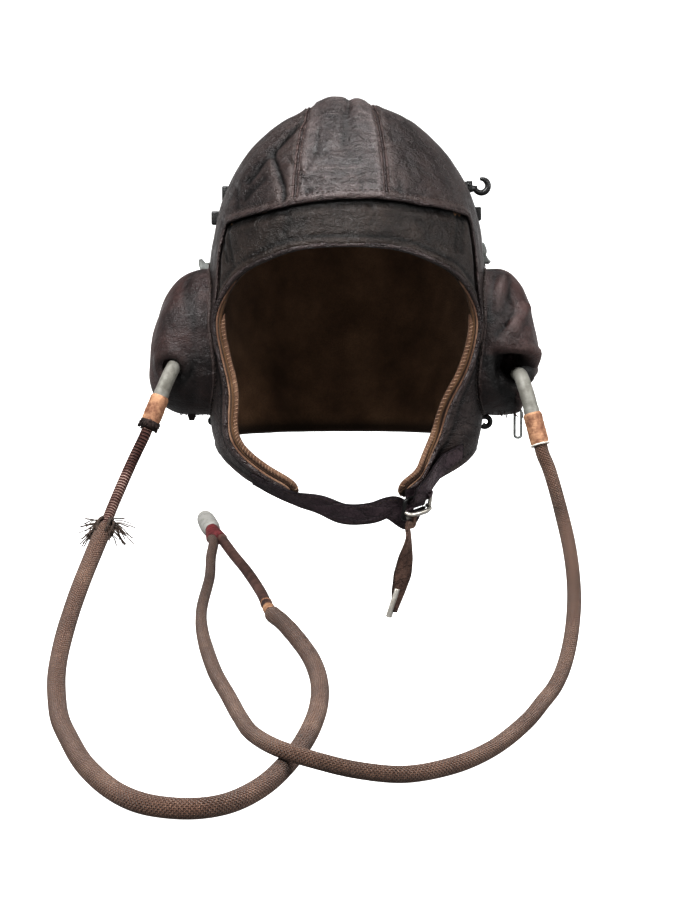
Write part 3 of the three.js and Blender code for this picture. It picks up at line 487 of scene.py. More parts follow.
def leather_look(name, dark, base, worn, rough=0.46, wear=0.5, ridges=0.5, shine=0.22, lined=0.7):
    """Old smooth leather: fine grain, worn ridges, patches and scuffs, with painted shade in its hollows and
    wrinkle lines and the piece's marks of painted shade and highlight.
    """
    look = Look(name)
    patches = look.noise(24, 6, 0.62)
    streaks = look.noise(75, 8, 0.7)
    scuffs = look.noise(210, 6, 0.75)
    colour = look.ramp(patches, [(0.34, dark), (0.50, base), (0.70, worn)])
    colour = look.mix(look.span(streaks, 0.50, 0.72, 0, wear), colour, worn)
    colour = look.mix(look.span(scuffs, 0.64, 0.78, 0, wear * 0.35), colour, times(worn, 2.0))
    form = look.form()
    colour = look.mix(look.span(form, 0.508, 0.545, 0, ridges), colour, times(worn, 1.4))
    # Painted shade: hollows of the surface are darker.
    colour = look.mix(look.span(form, 0.460, 0.494, 0.92, 0), colour, times(dark, 0.25))
    cracks = look.cells(330)
    colour = look.mix(look.span(cracks, 0.0, 0.07, 0.5, 0), colour, times(dark, 0.35))
    fine = look.math("ABSOLUTE", look.math("SUBTRACT", look.noise(95, 5, 0.6, (0.6, 0.8, 1.5)), 0.5))
    where = look.span(look.noise(17, 2, 0.5), 0.42, 0.58, 0, lined)
    lines = look.math("MULTIPLY", look.span(fine, 0.0, 0.022, 1, 0), where)
    # Painted shade along the fine wrinkle lines.
    colour = look.mix(lines, colour, times(dark, 0.3))
    # Lighter where the piece is marked: partly wear on ridges, partly painted highlight and painted light.
    lightened = look.math("MULTIPLY", look.mark("lightened"), look.span(streaks, 0.36, 0.60, 0.25, 1))
    colour = look.mix(lightened, colour, tuple(c * 0.9 + 0.02 for c in worn))
    colour = look.mix(look.mark("shaded"), colour, times(dark, 0.15))
    roughness = look.span(streaks, 0.3, 0.7, rough - 0.12, rough + 0.16)
    grain = look.bump(look.cells(1000), 0.00045, 0.8)
    wrinkle = look.bump(look.noise(230, 8, 0.66), 0.0018, 0.34, grain)
    folded = look.bump(look.span(fine, 0.0, 0.05, 0, 1), 0.0012, lined, wrinkle)
    normal = look.bump(look.noise(60, 4, 0.55), 0.0045, 0.7, folded)
    look.feed(Base_Color=colour, Roughness=roughness, Normal=normal)
    return look.set(Specular_IOR_Level=shine).material


def suede_look(name, dark, base, light):
    look = Look(name)
    patches = look.noise(38, 5, 0.55)
    fibres = look.noise(900, 5, 0.7)
    colour = look.ramp(patches, [(0.28, dark), (0.5, base), (0.78, light)])
    colour = look.mix(look.span(fibres, 0.35, 0.7, 0, 0.5), colour, dark)
    form = look.form()
    # Painted shade: hollows of the surface are darker.
    colour = look.mix(look.span(form, 0.43, 0.495, 0.85, 0), colour, times(dark, 0.3))
    colour = look.mix(look.mark("shaded"), colour, times(dark, 0.15))
    look.feed(Base_Color=colour, Normal=look.bump(fibres, 0.0007, 0.7))
    return look.set(Roughness=0.95, Specular_IOR_Level=0.15, Sheen_Weight=0.1).material


def braid_look(name, dark, base, light, across, pitch):
    """Two sets of threads that cross around a hose: across threads a turn, one turn each pitch in mm."""
    look = Look(name)
    turn, length = look.turn_and_length()
    around = look.math("MULTIPLY", turn, 2 * math.pi * across)
    along = look.math("MULTIPLY", length, 2 * math.pi * across / pitch)
    one = look.math("SINE", look.math("ADD", around, along))
    two = look.math("SINE", look.math("SUBTRACT", around, along))
    weave = look.math("MULTIPLY", one, two)
    height = look.math("MAXIMUM", one, two)
    flecks = look.noise(1100, 3, 0.6)
    patches = look.noise(30, 4, 0.5)
    colour = look.ramp(patches, [(0.15, dark), (0.50, base), (0.95, light)])
    colour = look.mix(look.span(flecks, 0.52, 0.68, 0, 0.6), colour, light)
    colour = look.mix(look.span(flecks, 0.30, 0.44, 0.6, 0), colour, dark)
    colour = look.mix(look.span(weave, -0.6, 0.6, 0.55, 0), colour, times(dark, 0.4))
    normal = look.bump(height, 0.0006, 0.9, look.bump(flecks, 0.0005, 0.5))
    look.feed(Base_Color=colour, Normal=normal)
    return look.set(Roughness=0.92, Specular_IOR_Level=0.2, Sheen_Weight=0.15).material


def ribbed_look(name, dark, base, pale):
    """A tube wound with fine ribs, pale on the ribs in worn patches, with painted shade between the ribs."""
    look = Look(name)
    _, length = look.turn_and_length()
    wave = look.math("SINE", look.math("MULTIPLY", length, 2 * math.pi / RIB_PITCH))
    patches = look.noise(60, 5, 0.6)
    lightened = look.math("MULTIPLY", look.span(wave, 0.55, 0.95, 0, 1), look.span(patches, 0.42, 0.60, 0, 0.75))
    colour = look.ramp(patches, [(0.30, dark), (0.60, base)])
    colour = look.mix(lightened, colour, pale)
    # Painted shade between the ribs.
    colour = look.mix(look.span(wave, -0.95, -0.3, 0.8, 0), colour, times(dark, 0.4))
    look.feed(Base_Color=colour, Normal=look.bump(wave, 0.0007, 1.0))
    return look.set(Roughness=0.55, Specular_IOR_Level=0.3).material


def plain_look(name, dark, base, scale=120, rough=0.5, metal=0.0, bump=0.0002, spread=(0.35, 0.65), coat=0.0):
    """Metal, rubber or paint with dirt and small dents."""
    look = Look(name)
    dirt = look.noise(scale, 7, 0.65)
    colour = look.ramp(dirt, [(spread[0], dark), (spread[1], base)])
    roughness = look.span(dirt, 0.3, 0.7, min(rough + 0.2, 1), rough)
    dents = look.bump(look.noise(scale * 5, 4, 0.6), bump, 0.6)
    look.feed(Base_Color=colour, Roughness=roughness, Normal=dents)
    return look.set(Metallic=metal, Coat_Weight=coat).material


CROWN = leather_look(
    "crown leather", (0.014, 0.010, 0.010), (0.042, 0.031, 0.030), (0.092, 0.070, 0.067),
    0.38, shine=0.6, lined=0.5,
)
WELT = leather_look(
    "welt leather", (0.014, 0.010, 0.010), (0.038, 0.026, 0.025), (0.080, 0.056, 0.052),
    0.38, 0.4, 0, 0.4,
)
SEAM_EDGE = leather_look(
    "seam edge", (0.022, 0.014, 0.013), (0.056, 0.037, 0.034), (0.105, 0.070, 0.064),
    0.42, 0.4, 0, 0.4,
)
SIDE = leather_look(
    "side leather", (0.010, 0.007, 0.007), (0.026, 0.018, 0.017), (0.062, 0.045, 0.041),
    0.42, shine=0.4, lined=0.5,
)
BROW = leather_look(
    "brow leather", (0.005, 0.004, 0.003), (0.015, 0.010, 0.008), (0.038, 0.027, 0.022),
    0.40, 0.3, 0.4, 0.35, 0.3,
)
ROLL = leather_look(
    "rolled leather", (0.008, 0.006, 0.006), (0.019, 0.013, 0.013), (0.055, 0.038, 0.036),
    0.34, 0.4, 0.3, 0.5,
)
CUP = leather_look(
    "cup leather", (0.015, 0.008, 0.008), (0.043, 0.022, 0.020), (0.088, 0.048, 0.042),
    0.46, 0.4, 0.2, 0.46, 0.15,
)
STRAP = leather_look(
    "strap leather", (0.020, 0.014, 0.017), (0.052, 0.037, 0.044), (0.098, 0.070, 0.078),
    0.5, 0.4, 0.2,
)
TAIL = leather_look(
    "free strap end", (0.055, 0.031, 0.024), (0.130, 0.078, 0.060), (0.23, 0.150, 0.115),
    0.6, 0.5, 0.3,
)
SUEDE = suede_look(
    "suede lining", (0.085, 0.047, 0.026), (0.185, 0.108, 0.060), (0.30, 0.185, 0.108),
)
ROLLED = suede_look(
    "lining roll", (0.045, 0.024, 0.016), (0.145, 0.086, 0.058), (0.29, 0.195, 0.137),
)
# A darker copy of the lining's suede, as painted shade on the lining's fold in the gap.
SHADED_SUEDE = suede_look(
    "lining fold", (0.016, 0.009, 0.006), (0.040, 0.023, 0.015), (0.075, 0.046, 0.031),
)
PIPING = suede_look("tan edge", (0.070, 0.037, 0.025), (0.210, 0.128, 0.087), (0.44, 0.310, 0.220))
BRAID_WIDE = braid_look(
    "wide braid", (0.054, 0.031, 0.022), (0.152, 0.086, 0.061), (0.33, 0.220, 0.160), 14, 26,
)
BRAID_THIN = braid_look(
    "thin braid", (0.050, 0.029, 0.020), (0.142, 0.081, 0.057), (0.31, 0.205, 0.150), 12, 22,
)
RIBBED = ribbed_look(
    "ribbed rubber", (0.045, 0.020, 0.017), (0.165, 0.078, 0.064), (0.46, 0.38, 0.33),
)
RUBBER = plain_look("worn rubber", (0.040, 0.021, 0.018), (0.130, 0.070, 0.056), 70, 0.62)
CHARRED = plain_look("charred tape", (0.010, 0.006, 0.005), (0.035, 0.020, 0.016), 200, 0.8)
STUB = plain_look(
    "worn tube metal", (0.09, 0.085, 0.070), (0.22, 0.215, 0.195),
    110, 0.48, 0.1, 0.0002, (0.25, 0.6),
)
SLEEVE = plain_look(
    "wound tan tape", (0.15, 0.068, 0.040), (0.36, 0.215, 0.130),
    130, 0.65, 0, 0.0009, (0.36, 0.58),
)
RED_TAPE = plain_look("red tape", (0.050, 0.008, 0.009), (0.175, 0.026, 0.030), 200, 0.6, 0, 0.0005)
FERRULE = plain_look(
    "pale ferrule", (0.13, 0.125, 0.112), (0.27, 0.265, 0.250), 190, 0.5, 0, 0.0002, (0.2, 0.5),
)
BLACK = plain_look(
    "black enamel", (0.005, 0.005, 0.005), (0.014, 0.014, 0.014), 300, 0.35, 0.3, 0.0003, coat=0.2,
)
GREY = plain_look("dull steel", (0.07, 0.072, 0.068), (0.24, 0.25, 0.24), 300, 0.45, 0.1, 0.0003)
SILVER = plain_look(
    "worn plate", (0.26, 0.23, 0.19), (0.52, 0.50, 0.46), 160, 0.3, 0.85, 0.0002, (0.25, 0.5),
)
THREAD = plain_look("dark thread", (0.016, 0.011, 0.010), (0.050, 0.034, 0.027), 500, 0.8)
FRAYED = plain_look("frayed braid", (0.025, 0.018, 0.015), (0.082, 0.058, 0.046), 500, 0.9)
TAN_THREAD = plain_look("tan thread", (0.14, 0.084, 0.055), (0.38, 0.265, 0.185), 500, 0.85)
PALE_THREAD = plain_look("pale thread", (0.35, 0.33, 0.30), (0.75, 0.73, 0.68), 500, 0.8)


# Hoses and what is on them

JOINT_PLACE = vec(-84.8, 55, FLOOR + FERRULE_WIDTH / 2)
JOINT_AXIS = unit(vec(-0.2, 0.98, 0))
JOINT_SIDE = unit(vec(0.98, 0.2, 0))
# wide, along
FERRULE_OUTLINE = [
    (0, 0), (0.72, 0), (0.82, 0.03), (0.93, 0.10), (0.99, 0.22), (1, 0.36), (0.99, 0.6),
    (0.97, 0.72), (0.93, 0.82), (0.85, 0.91), (0.74, 0.97), (0.58, 1.0), (0, 1.0),
]


def stub_curve(word, step=0.5):
    """The middle line of a cup's tube stub."""
    rows = [cup_point(side_of(word), *row) for row in STUB_ROUTE[word]]
    return evenly(smoothed(rows, 30), step)[0]


def sleeve_ends(word):
    """Where the stub ends, the way it points there, and the sleeve's two ends."""
    path = stub_curve(word, 0.1)
    along = unit(path[-1] - path[-2])
    return along, path[-1] + along * GAP, path[-1] + along * (GAP + SLEEVE_LENGTH)


def hose_path(word):
    along, _, low = sleeve_ends(word)
    starts = [leaned(low + along * step) for step in (GAP, 6)]
    side = 1 if word == "left" else -1
    place = JOINT_PLACE + JOINT_SIDE * side * INLET_SPACING / 2
    ends = [place + JOINT_AXIS * step for step in (-8, -GAP)]
    left = LEFT_TUBE_ROUTE + LEFT_BRAID_ROUTE + LEFT_TAIL_ROUTE
    rows = left if word == "left" else RIGHT_ROUTE + RIGHT_TAIL_ROUTE
    return smoothed(np.vstack([starts, rows, ends]), 24)


def nearest(path, place):
    return int(np.argmin(np.linalg.norm(path - np.asarray(place, float), axis=1)))


def hose_radius(path, widths, blend):
    """Radius along the path: each width has the index where it starts."""
    radius = np.zeros(len(path))
    for start, width in widths:
        radius[start:] = width / 2
    kernel = np.ones(blend) / blend
    padded = np.pad(radius, blend, mode="edge")
    return np.convolve(padded, kernel, "same")[blend:-blend]


def add_hose(word, path, radius, looks, nodes, which):
    """The piece of one hose. which(ring) says which look each ring of faces has."""
    radius = radius * (1 + 0.025 * wobble(path, 30))
    points, faces, uv = tube(path, radius, HOSE_SIDES)
    ring = np.array([min(face[0] // HOSE_SIDES, len(path) - 2) for face in faces])
    return add_mesh(f"hose_{word}_cord", points, faces, looks, nodes, uv, face_looks=which(ring))


def build_left_hose(path):
    braid = nearest(path, LEFT_BRAID_ROUTE[0])
    tail = nearest(path, LEFT_TAIL_ROUTE[0])
    radius = hose_radius(path, [(0, TUBE_WIDTH), (braid, LEFT_HOSE_WIDTH), (tail, TAIL_WIDTH)], 4)
    worn = slice(tail - WORN_STEPS + 1, tail)
    radius[worn] *= 1 + 0.05 * wobble(path[worn], 9)
    nodes = ("hose_left_tube", "hose_left_braid", "hose_left_tail")
    looks = [RIBBED, BRAID_WIDE, RUBBER]
    hose = add_hose("left", path, radius, looks, nodes, lambda ring: (ring >= braid) * 1 + (ring > tail))
    wraps = [tube(path[tail + a : tail + b], TAIL_WIDTH / 2 + 0.3, HOSE_SIDES) for a, b in TAIL_WRAPS]
    return hose, add_tubes("tan_hose_wraps", wraps, SLEEVE, upright=False)


def build_right_hose(path):
    tail = nearest(path, RIGHT_TAIL_ROUTE[0])
    radius = hose_radius(path, [(0, RIGHT_HOSE_WIDTH), (tail, TAIL_WIDTH)], 60)
    nodes = ("hose_right", "hose_right_tail")
    return add_hose("right", path, radius, [BRAID_THIN], nodes, lambda ring: 0 * ring)


def build_frayed_end(path):
    """Loose threads where the braid of the left hose has come undone."""
    rng = np.random.default_rng(7)
    start = nearest(path, LEFT_BRAID_ROUTE[0])
    place = path[start]
    along = unit(path[start + 3] - place)
    parts = []
    for _ in range(LOOSE_THREADS):
        turn = rng.uniform(0, 2 * math.pi)
        out = unit(vec(math.cos(turn), 0.5 * math.sin(turn), rng.normal(0.05, 0.35)))
        start = place + along * rng.uniform(-2.5, 3) + out * (TUBE_WIDTH / 2)
        reach = rng.uniform(4, 11)
        bend = rng.normal(0, 2.4, 3) - vec(0, 0, reach * rng.uniform(0.2, 0.7))
        line = [start, start + out * reach * 0.5 + bend * 0.2, start + out * reach + bend]
        parts.append(tube(smoothed(line, 5), rng.uniform(0.22, 0.42), 5))
    for turn in np.arange(RUFFLES) * 2 * math.pi / RUFFLES:
        ring = vec(math.cos(turn), math.sin(turn), 0)
        ring = unit(ring - along * (ring @ along))
        line = [place + along * 7 + ring * 4.5, place + ring * 5.4, place - along * 4 + ring * 3.6]
        parts.append(tube(smoothed(line, 6), 0.9, 6))
    return add_tubes("frayed_threads", parts, FRAYED, upright=False)


def build_tape():
    """The tape wound round both tails, in from an oval to the connector's round end."""
    sides = 28
    shares = np.linspace(0, 1, 60)
    wide = np.interp(shares, [0, 1], [(INLET_SPACING + TAIL_WIDTH) / 2 + 0.4, FERRULE_WIDTH * 0.36])
    tall = np.interp(shares, [0, 1], [TAIL_WIDTH / 2 + 0.8, FERRULE_WIDTH * 0.36])
    turn = np.arange(sides) * 2 * math.pi / sides
    wraps = 1 - 0.035 * (np.mod(shares[:, None] * 5 + turn[None] / (2 * math.pi), 1) < 0.12)
    centre = JOINT_PLACE + JOINT_AXIS * (shares[:, None] * TAPE_LENGTH)
    ring = (
        JOINT_SIDE * (wide[:, None] * np.cos(turn) * wraps)[..., None]
        + vec(0, 0, 1) * (tall[:, None] * np.sin(turn) * wraps)[..., None]
    )
    points = (centre[:, None] + ring).reshape(-1, 3)
    faces = ring_quads(len(shares), sides).tolist() + flat_ends(len(shares), sides)
    return add_mesh("joint_tape_wound", points, faces, [RED_TAPE], ["joint_tape"])


def build_ferrule():
    sides = 28
    turn = np.arange(sides)[:, None] * 2 * math.pi / sides
    round_it = JOINT_SIDE * np.cos(turn) + vec(0, 0, 1) * np.sin(turn)
    base = JOINT_PLACE + JOINT_AXIS * (TAPE_LENGTH + GAP)
    rings = []
    for wide, share in FERRULE_OUTLINE:
        centre = base + JOINT_AXIS * share * FERRULE_LENGTH
        rings.append(centre + round_it * max(wide, 0.001) * FERRULE_WIDTH / 2)
    faces = ring_quads(len(rings), sides).tolist()
    return add_mesh("ferrule_turned", np.vstack(rings), faces, [FERRULE], ["ferrule"])


def build_cords():
    left, left_length = evenly(hose_path("left"), HOSE_STEP)
    left_hose, wraps = build_left_hose(left)
    right, right_length = evenly(hose_path("right"), HOSE_STEP)
    right_hose = build_right_hose(right)
    frayed = build_frayed_end(left)
    joint = [build_tape(), build_ferrule()]


build_cords()


# The helmet's form


def section_at(place):
    """The row of HEAD_SECTIONS at a place between its rows, on a curve through them."""
    place = np.asarray(place, float)
    last = len(HEAD_SECTIONS) - 1
    index = np.clip(np.floor(place).astype(int), 0, last - 1)
    t = (place - index)[..., None]
    a, b, c, d = (HEAD_SECTIONS[np.clip(index + k, 0, last)] for k in (-1, 0, 1, 2))
    return 0.5 * (2 * b + t * (c - a + t * (2 * a - 5 * b + 4 * c - d + t * (3 * (b - c) + d - a))))


def level_of(down):
    return CROWN_TOP - np.asarray(down, float) * HELMET_HEIGHT


def forward_of(share):
    share = np.asarray(share, float)
    return np.where(share > 0, -share * FRONT_REACH, -share * BACK_REACH)


FINE_PLACES = np.linspace(0, len(HEAD_SECTIONS) - 1, 1101)
FINE_DOWNS = section_at(FINE_PLACES)[:, DOWN]


def place_of_level(z):
    return np.interp((CROWN_TOP - np.asarray(z, float)) / HELMET_HEIGHT, FINE_DOWNS, FINE_PLACES)


def signed_power(value, power):
    return np.sign(value) * np.abs(value) ** power


def plain_point(place, turn):
    place, turn = np.broadcast_arrays(np.asarray(place, float), np.asarray(turn, float))
    section = section_at(place)
    power = 2 / section[..., SQUARE]
    forward = np.cos(turn)
    reach = np.where(forward > 0, section[..., FRONT] * FRONT_REACH, section[..., BACK] * BACK_REACH)
    x = section[..., WIDE] * HALF_BREADTH * signed_power(np.sin(turn), power)
    return np.stack([x, -reach * signed_power(forward, power), level_of(section[..., DOWN])], -1)


def bulge_at(points):
    out = np.zeros(points.shape[:-1])
    for across, forward, down, spread, amount in BULGES:
        place = vec(across * HALF_BREADTH, forward_of(forward), level_of(down))
        away = np.sum((points - place) ** 2, -1) / (spread * HALF_BREADTH) ** 2
        out += amount * HALF_BREADTH * np.exp(-away)
    return out


def wall_point(place, turn, depth=0.0):
    """Points of the wall, so deep under the leather's outer face, and the ways out there."""
    nudge = 0.02
    place = np.maximum(np.asarray(place, float), nudge * 1.01)
    along = plain_point(place + nudge, turn) - plain_point(place - nudge, turn)
    around = plain_point(place, turn + nudge) - plain_point(place, turn - nudge)
    out = unit(np.cross(along, around))
    point = plain_point(place, turn)
    return point + out * (bulge_at(point) - depth)[..., None], out


def side_point(side, y, z, depth=0.0):
    """Points of the wall on one side at the given places of the side view."""
    place = place_of_level(z)
    section = section_at(place)
    y = np.asarray(y, float)
    reach = np.where(y < 0, section[..., FRONT] * FRONT_REACH, section[..., BACK] * BACK_REACH)
    share = np.minimum(np.abs(y) / reach, 1)
    turn = np.arccos(-np.sign(y) * share ** (section[..., SQUARE] / 2))
    return wall_point(place, side * turn, depth)


def edge_polygon(shows=0.0):
    """The side view of what is kept of the walls, as a polygon of y and z."""
    marks = np.array([(forward_of(f), level_of(d)) for f, d in EDGE_OUTLINE])
    edge = smoothed(marks, 12)
    cheek_top, flap_end = level_of(CHEEK_TOP), level_of(FLAP_END)
    share = np.where((edge[:, 1] < cheek_top) & (edge[:, 0] < 0), eased((cheek_top - edge[:, 1]) / 20), -0.4)
    edge[:, 0] -= np.where(edge[:, 1] > flap_end, shows * share, 0)
    room = 60
    corners = [(BACK_REACH + room, edge[-1, 1]), (BACK_REACH + room, CROWN_TOP + room)]
    corners += [(-FRONT_REACH - room, CROWN_TOP + room), (-FRONT_REACH - room, edge[0, 1])]
    return np.vstack([edge, corners])


def signed_inside(points, polygon):
    """Distance to a polygon's outline, positive inside it."""
    a = polygon
    b = np.roll(polygon, -1, axis=0)
    ab = b - a
    best = np.full(len(points), 1e9)
    inside = np.zeros(len(points), bool)
    for start, end, line in zip(a, b, ab):
        t = np.clip(((points - start) @ line) / max(line @ line, 1e-9), 0, 1)
        best = np.minimum(best, np.linalg.norm(points - start - t[:, None] * line, axis=1))
        crosses = (start[1] > points[:, 1]) != (end[1] > points[:, 1])
        with np.errstate(divide="ignore", invalid="ignore"):
            at = start[0] + (points[:, 1] - start[1]) / (end[1] - start[1]) * line[0]
        inside ^= crosses & (points[:, 0] < at)
    return np.where(inside, best, -best)


def brow_inside(points):
    """Distance into the brow band, positive inside it."""
    marks = [(float(forward_of(f)), float(level_of(d))) for f, d in HEM]
    low = float(level_of(BAND_DEPTH))
    polygon = np.array([*marks, (marks[-1][0], low), (marks[0][0], low)])
    pivot = float(level_of(HEM[1][1]))
    z = points[:, 2] - pivot
    tilted = points[:, 0] * math.sin(-BROW_TILT) + z * math.cos(BROW_TILT) + pivot
    return signed_inside(np.stack([points[:, 1], tilted], -1), polygon)


def centre_inside(points):
    """Distance into the crown's centre panel, positive inside it."""
    rows = np.array(CENTRE_PANEL)
    y = forward_of(rows[:, 0])
    right = np.interp(points[:, 1], y, rows[:, 1] * HALF_BREADTH)
    left = np.interp(points[:, 1], y, rows[:, 2] * HALF_BREADTH)
    return np.minimum(right - points[:, 0], points[:, 0] + left)


# The picture's camera: its place in millimetres, which way it looks, the middle of the picture and the
# lens in pixels
EYE = vec(-5.7, -1215.7, 47.8)
TILT = math.radians(12)
VIEW_AHEAD = vec(0, math.cos(TILT), -math.sin(TILT))
VIEW_DOWN = vec(0, -math.sin(TILT), -math.cos(TILT))
MIDDLE_ACROSS, MIDDLE_DOWN = 337.5, 450
LENS = 2000


def in_photo(points):
    """Where points of the helmet's own frame lie in the picture, in pixels."""
    away = leaned(points) - EYE
    depth = away @ VIEW_AHEAD
    across = MIDDLE_ACROSS + LENS * away[..., 0] / depth
    return np.stack([across, MIDDLE_DOWN + LENS * (away @ VIEW_DOWN) / depth], -1)


def from_line(pixels, line):
    """Distance in pixels from a line of given points."""
    line = np.array(line, float)
    best = np.full(len(pixels), 1e9)
    for start, end in zip(line, line[1:]):
        t = np.clip(((pixels - start) @ (end - start)) / ((end - start) @ (end - start)), 0, 1)
        best = np.minimum(best, np.linalg.norm(pixels - start - t[:, None] * (end - start), axis=1))
    return best


# Creases of the crown and brow: width and height in millimetres, then points in pixels of the photo
CREASES = [
    (2.2, -1.3, [(306, 116), (289, 132), (272, 151), (258, 166), (247, 180)]),
    (4.5, 0.45, [(301, 110), (283, 126), (266, 145), (252, 161), (240, 177)]),
    (2.0, -1.2, [(272, 153), (276, 165), (279, 175), (283, 185), (284, 200)]),
    (4.5, 0.45, [(266, 158), (270, 170), (274, 181), (277, 198)]),
    (1.6, -0.8, [(264, 177), (257, 184), (249, 190), (243, 199)]),
    (1.4, -0.6, [(237, 190), (237, 207)]),
    (1.5, -0.6, [(290, 160), (298, 166), (303, 178)]),
    (1.3, -0.55, [(296, 188), (303, 182), (312, 176), (325, 172), (338, 173), (350, 171), (362, 173)]),
    (1.2, -0.45, [(305, 190), (318, 183), (335, 181), (356, 180), (372, 181)]),
    (1.3, -0.45, [(318, 163), (333, 161), (349, 163), (361, 161)]),
    (6.0, 0.35, [(316, 168), (332, 167), (350, 167), (362, 167)]),
    (1.1, -0.5, [(361, 177), (363, 191)]),
    (1.1, -0.5, [(400, 178), (401, 193)]),
    (2.2, -0.25, [(404, 150), (412, 168), (415, 185)]),
    (2.5, -0.25, [(386, 128), (398, 143), (404, 158)]),
    (1.6, -0.5, [(319, 128), (317, 141), (315, 153)]),
    (4.0, -0.8, [(345, 112), (346, 125), (342, 142)]),
    (1.6, -0.5, [(372, 205), (376, 214), (370, 226)]),
    (2.5, -0.6, [(284, 210), (290, 220), (284, 232)]),
    (3.0, -0.5, [(415, 218), (424, 226), (430, 240)]),
]
# The stitched seams at the two ends of the brow band
BAND_SEAMS = [
    [(228.5, 223), (229, 240), (232, 263)], [(223.5, 223), (224, 240), (227, 262)],
    [(458.5, 211), (457.5, 230), (456, 250)], [(463, 212), (462.5, 230), (461, 252)],
]
# Millimetres to a pixel on the helmet, and how many times deeper the creases are than their rows say
PIXEL = 0.6
CREASE_DEPTH = 1.6


def crease_height(points, out, creases):
    """Height of the creases that lie along lines in the picture, on the leather that faces it."""
    pixels = in_photo(points)
    facing = np.clip((leaned(out) @ -VIEW_AHEAD) * 3, 0, 1)
    height = np.zeros(len(points))
    for width, amount, line in creases:
        away = from_line(pixels, line) * PIXEL / width
        height += amount * np.exp(-away * away)
    return height * facing


# How square a cup's outline is: 1 is an ellipse, less is nearer a box
CUP_SQUARE = 0.8


def from_cup_centre(points):
    """How far back and up from a cup's middle, as shares of its half length and half height."""
    back = (points[:, 1] - CUP_CENTRE[1]) / (CUP_LENGTH / 2)
    up = (points[:, 2] - CUP_CENTRE[2]) / (CUP_HEIGHT / 2)
    return np.stack([back, up])


def line_marks(points, out, creases, narrow=0.6, dark=0.75, light=0.8):
    """How far the creases are darkened as painted shade and the ridges lightened, partly as wear and partly
    as painted highlight, at each point.
    """
    narrowed = [(max(width * narrow, 1.1), amount, line) for width, amount, line in creases]
    lines = crease_height(points, out, narrowed)
    return np.clip(-lines * dark, 0, 0.85), np.clip(lines * light, 0, 0.6)


# Cutting meshes


def clip(rows, faces, value):
    """Keeps the side of a triangle mesh where value is above zero. Rows hold all that belongs to a point."""
    inside = value > 0
    count = inside[faces].sum(1)
    kept = faces[count == 3].tolist()
    added = []
    known = {}

    def crossing(a, b):
        key = (min(a, b), max(a, b))
        if key not in known:
            share = value[a] / (value[a] - value[b])
            known[key] = len(rows) + len(added)
            added.append(rows[a] + (rows[b] - rows[a]) * share)
        return known[key]

    for face in faces[(count == 1) | (count == 2)]:
        ring = []
        for a, b in zip(face, np.roll(face, -1)):
            if inside[a]:
                ring.append(int(a))
            if inside[a] != inside[b]:
                ring.append(crossing(int(a), int(b)))
        kept += [[ring[0], ring[i], ring[i + 1]] for i in range(1, len(ring) - 1)]
    all_rows = np.vstack([rows, added]) if added else rows
    kept = np.array(kept, int)
    used, index = np.unique(kept, return_inverse=True)
    fresh = used >= len(rows)
    return all_rows[used], index.reshape(kept.shape), fresh


def rim_lines(faces, fresh):
    """The lines of points along a cut."""
    edges = {}
    for a, b, c in faces.tolist():
        for pair in ((a, b), (b, c), (c, a)):
            key = (min(pair), max(pair))
            edges[key] = edges.get(key, 0) + 1
    beside = {}
    for (a, b), count in edges.items():
        if count == 1 and fresh[a] and fresh[b]:
            beside.setdefault(a, []).append(b)
            beside.setdefault(b, []).append(a)
    lines = []
    left = set(beside)
    while left:
        start = next((p for p in left if len(beside[p]) == 1), None)
        start = min(left) if start is None else start
        line = [start]
        left.discard(start)
        while True:
            after = [p for p in beside[line[-1]] if p in left]
            if not after:
                break
            line.append(after[0])
            left.discard(after[0])
        if len(beside[start]) == 2 and start in beside[line[-1]]:
            line.append(start)
        lines.append(line)
    return sorted(lines, key=len, reverse=True)


# Columns of a panel's rows after the place and the way out: the height that the outer face is raised
# by, the painted shade that darkens the look and the wear and painted highlight that lighten it, and the
# distances that the panel is cut by
RAISE, DARK, LIGHT, CUT = 6, 7, 8, 9


def leather_sheet(name, rows, faces, look, nodes, thickness=LEATHER):
    """A panel made solid inwards."""
    points = rows[:, :3] + rows[:, 3:6] * rows[:, RAISE, None]
    piece = add_mesh(name, leaned(points), faces.tolist(), [look], nodes)
    # The marks carry painted shade, and wear with painted highlight.
    for column, word in ((DARK, "shaded"), (LIGHT, "lightened")):
        attribute = piece.data.attributes.new(word, "FLOAT", "POINT")
        attribute.data.foreach_set("value", np.clip(rows[:, column], 0, 1).astype(np.float32))
    solid = piece.modifiers.new("solid", "SOLIDIFY")
    solid.thickness = thickness * MM
    solid.offset = -1
    apply_modifiers(piece)
    piece.data.shade_smooth()
    return piece


def body_grid(step=1.7):
    """Triangles over the whole form: rows of place and way out."""
    top = plain_point(FINE_PLACES[2:-30], math.pi / 2)
    lengths = np.concatenate([[0], np.cumsum(np.linalg.norm(np.diff(top, axis=0), axis=1))])
    places = np.interp(np.arange(0, lengths[-1], step), lengths, FINE_PLACES[2:-30])
    turns = np.linspace(-math.pi, math.pi, 4001)
    ring = plain_point(6, turns)
    around = np.concatenate([[0], np.cumsum(np.linalg.norm(np.diff(ring, axis=0), axis=1))])
    columns = int(around[-1] / step)
    turns = np.interp(np.arange(columns) * around[-1] / columns, around, turns)
    points, out = wall_point(places[:, None], turns[None, :])
    rows = np.concatenate([points, out], -1).reshape(-1, 6)
    apex_point, _ = wall_point(np.array([0.0]), np.array([0.0]))
    apex = np.concatenate([apex_point[0], [0, 0, 1]])
    rows = np.vstack([rows, apex])
    fan = [(len(rows) - 1, (s + 1) % columns, s) for s in range(columns)]
    faces = np.vstack([halved(ring_quads(len(places), columns)), fan])[:, ::-1]
    return rows, faces


def humps(distance, rows):
    """Sum of smooth ridges and grooves beside a seam: each at a distance, so wide and so high."""
    height = np.zeros_like(distance)
    for at, width, amount in rows:
        height += amount * np.exp(-(((distance - at) / width) ** 2))
    return height


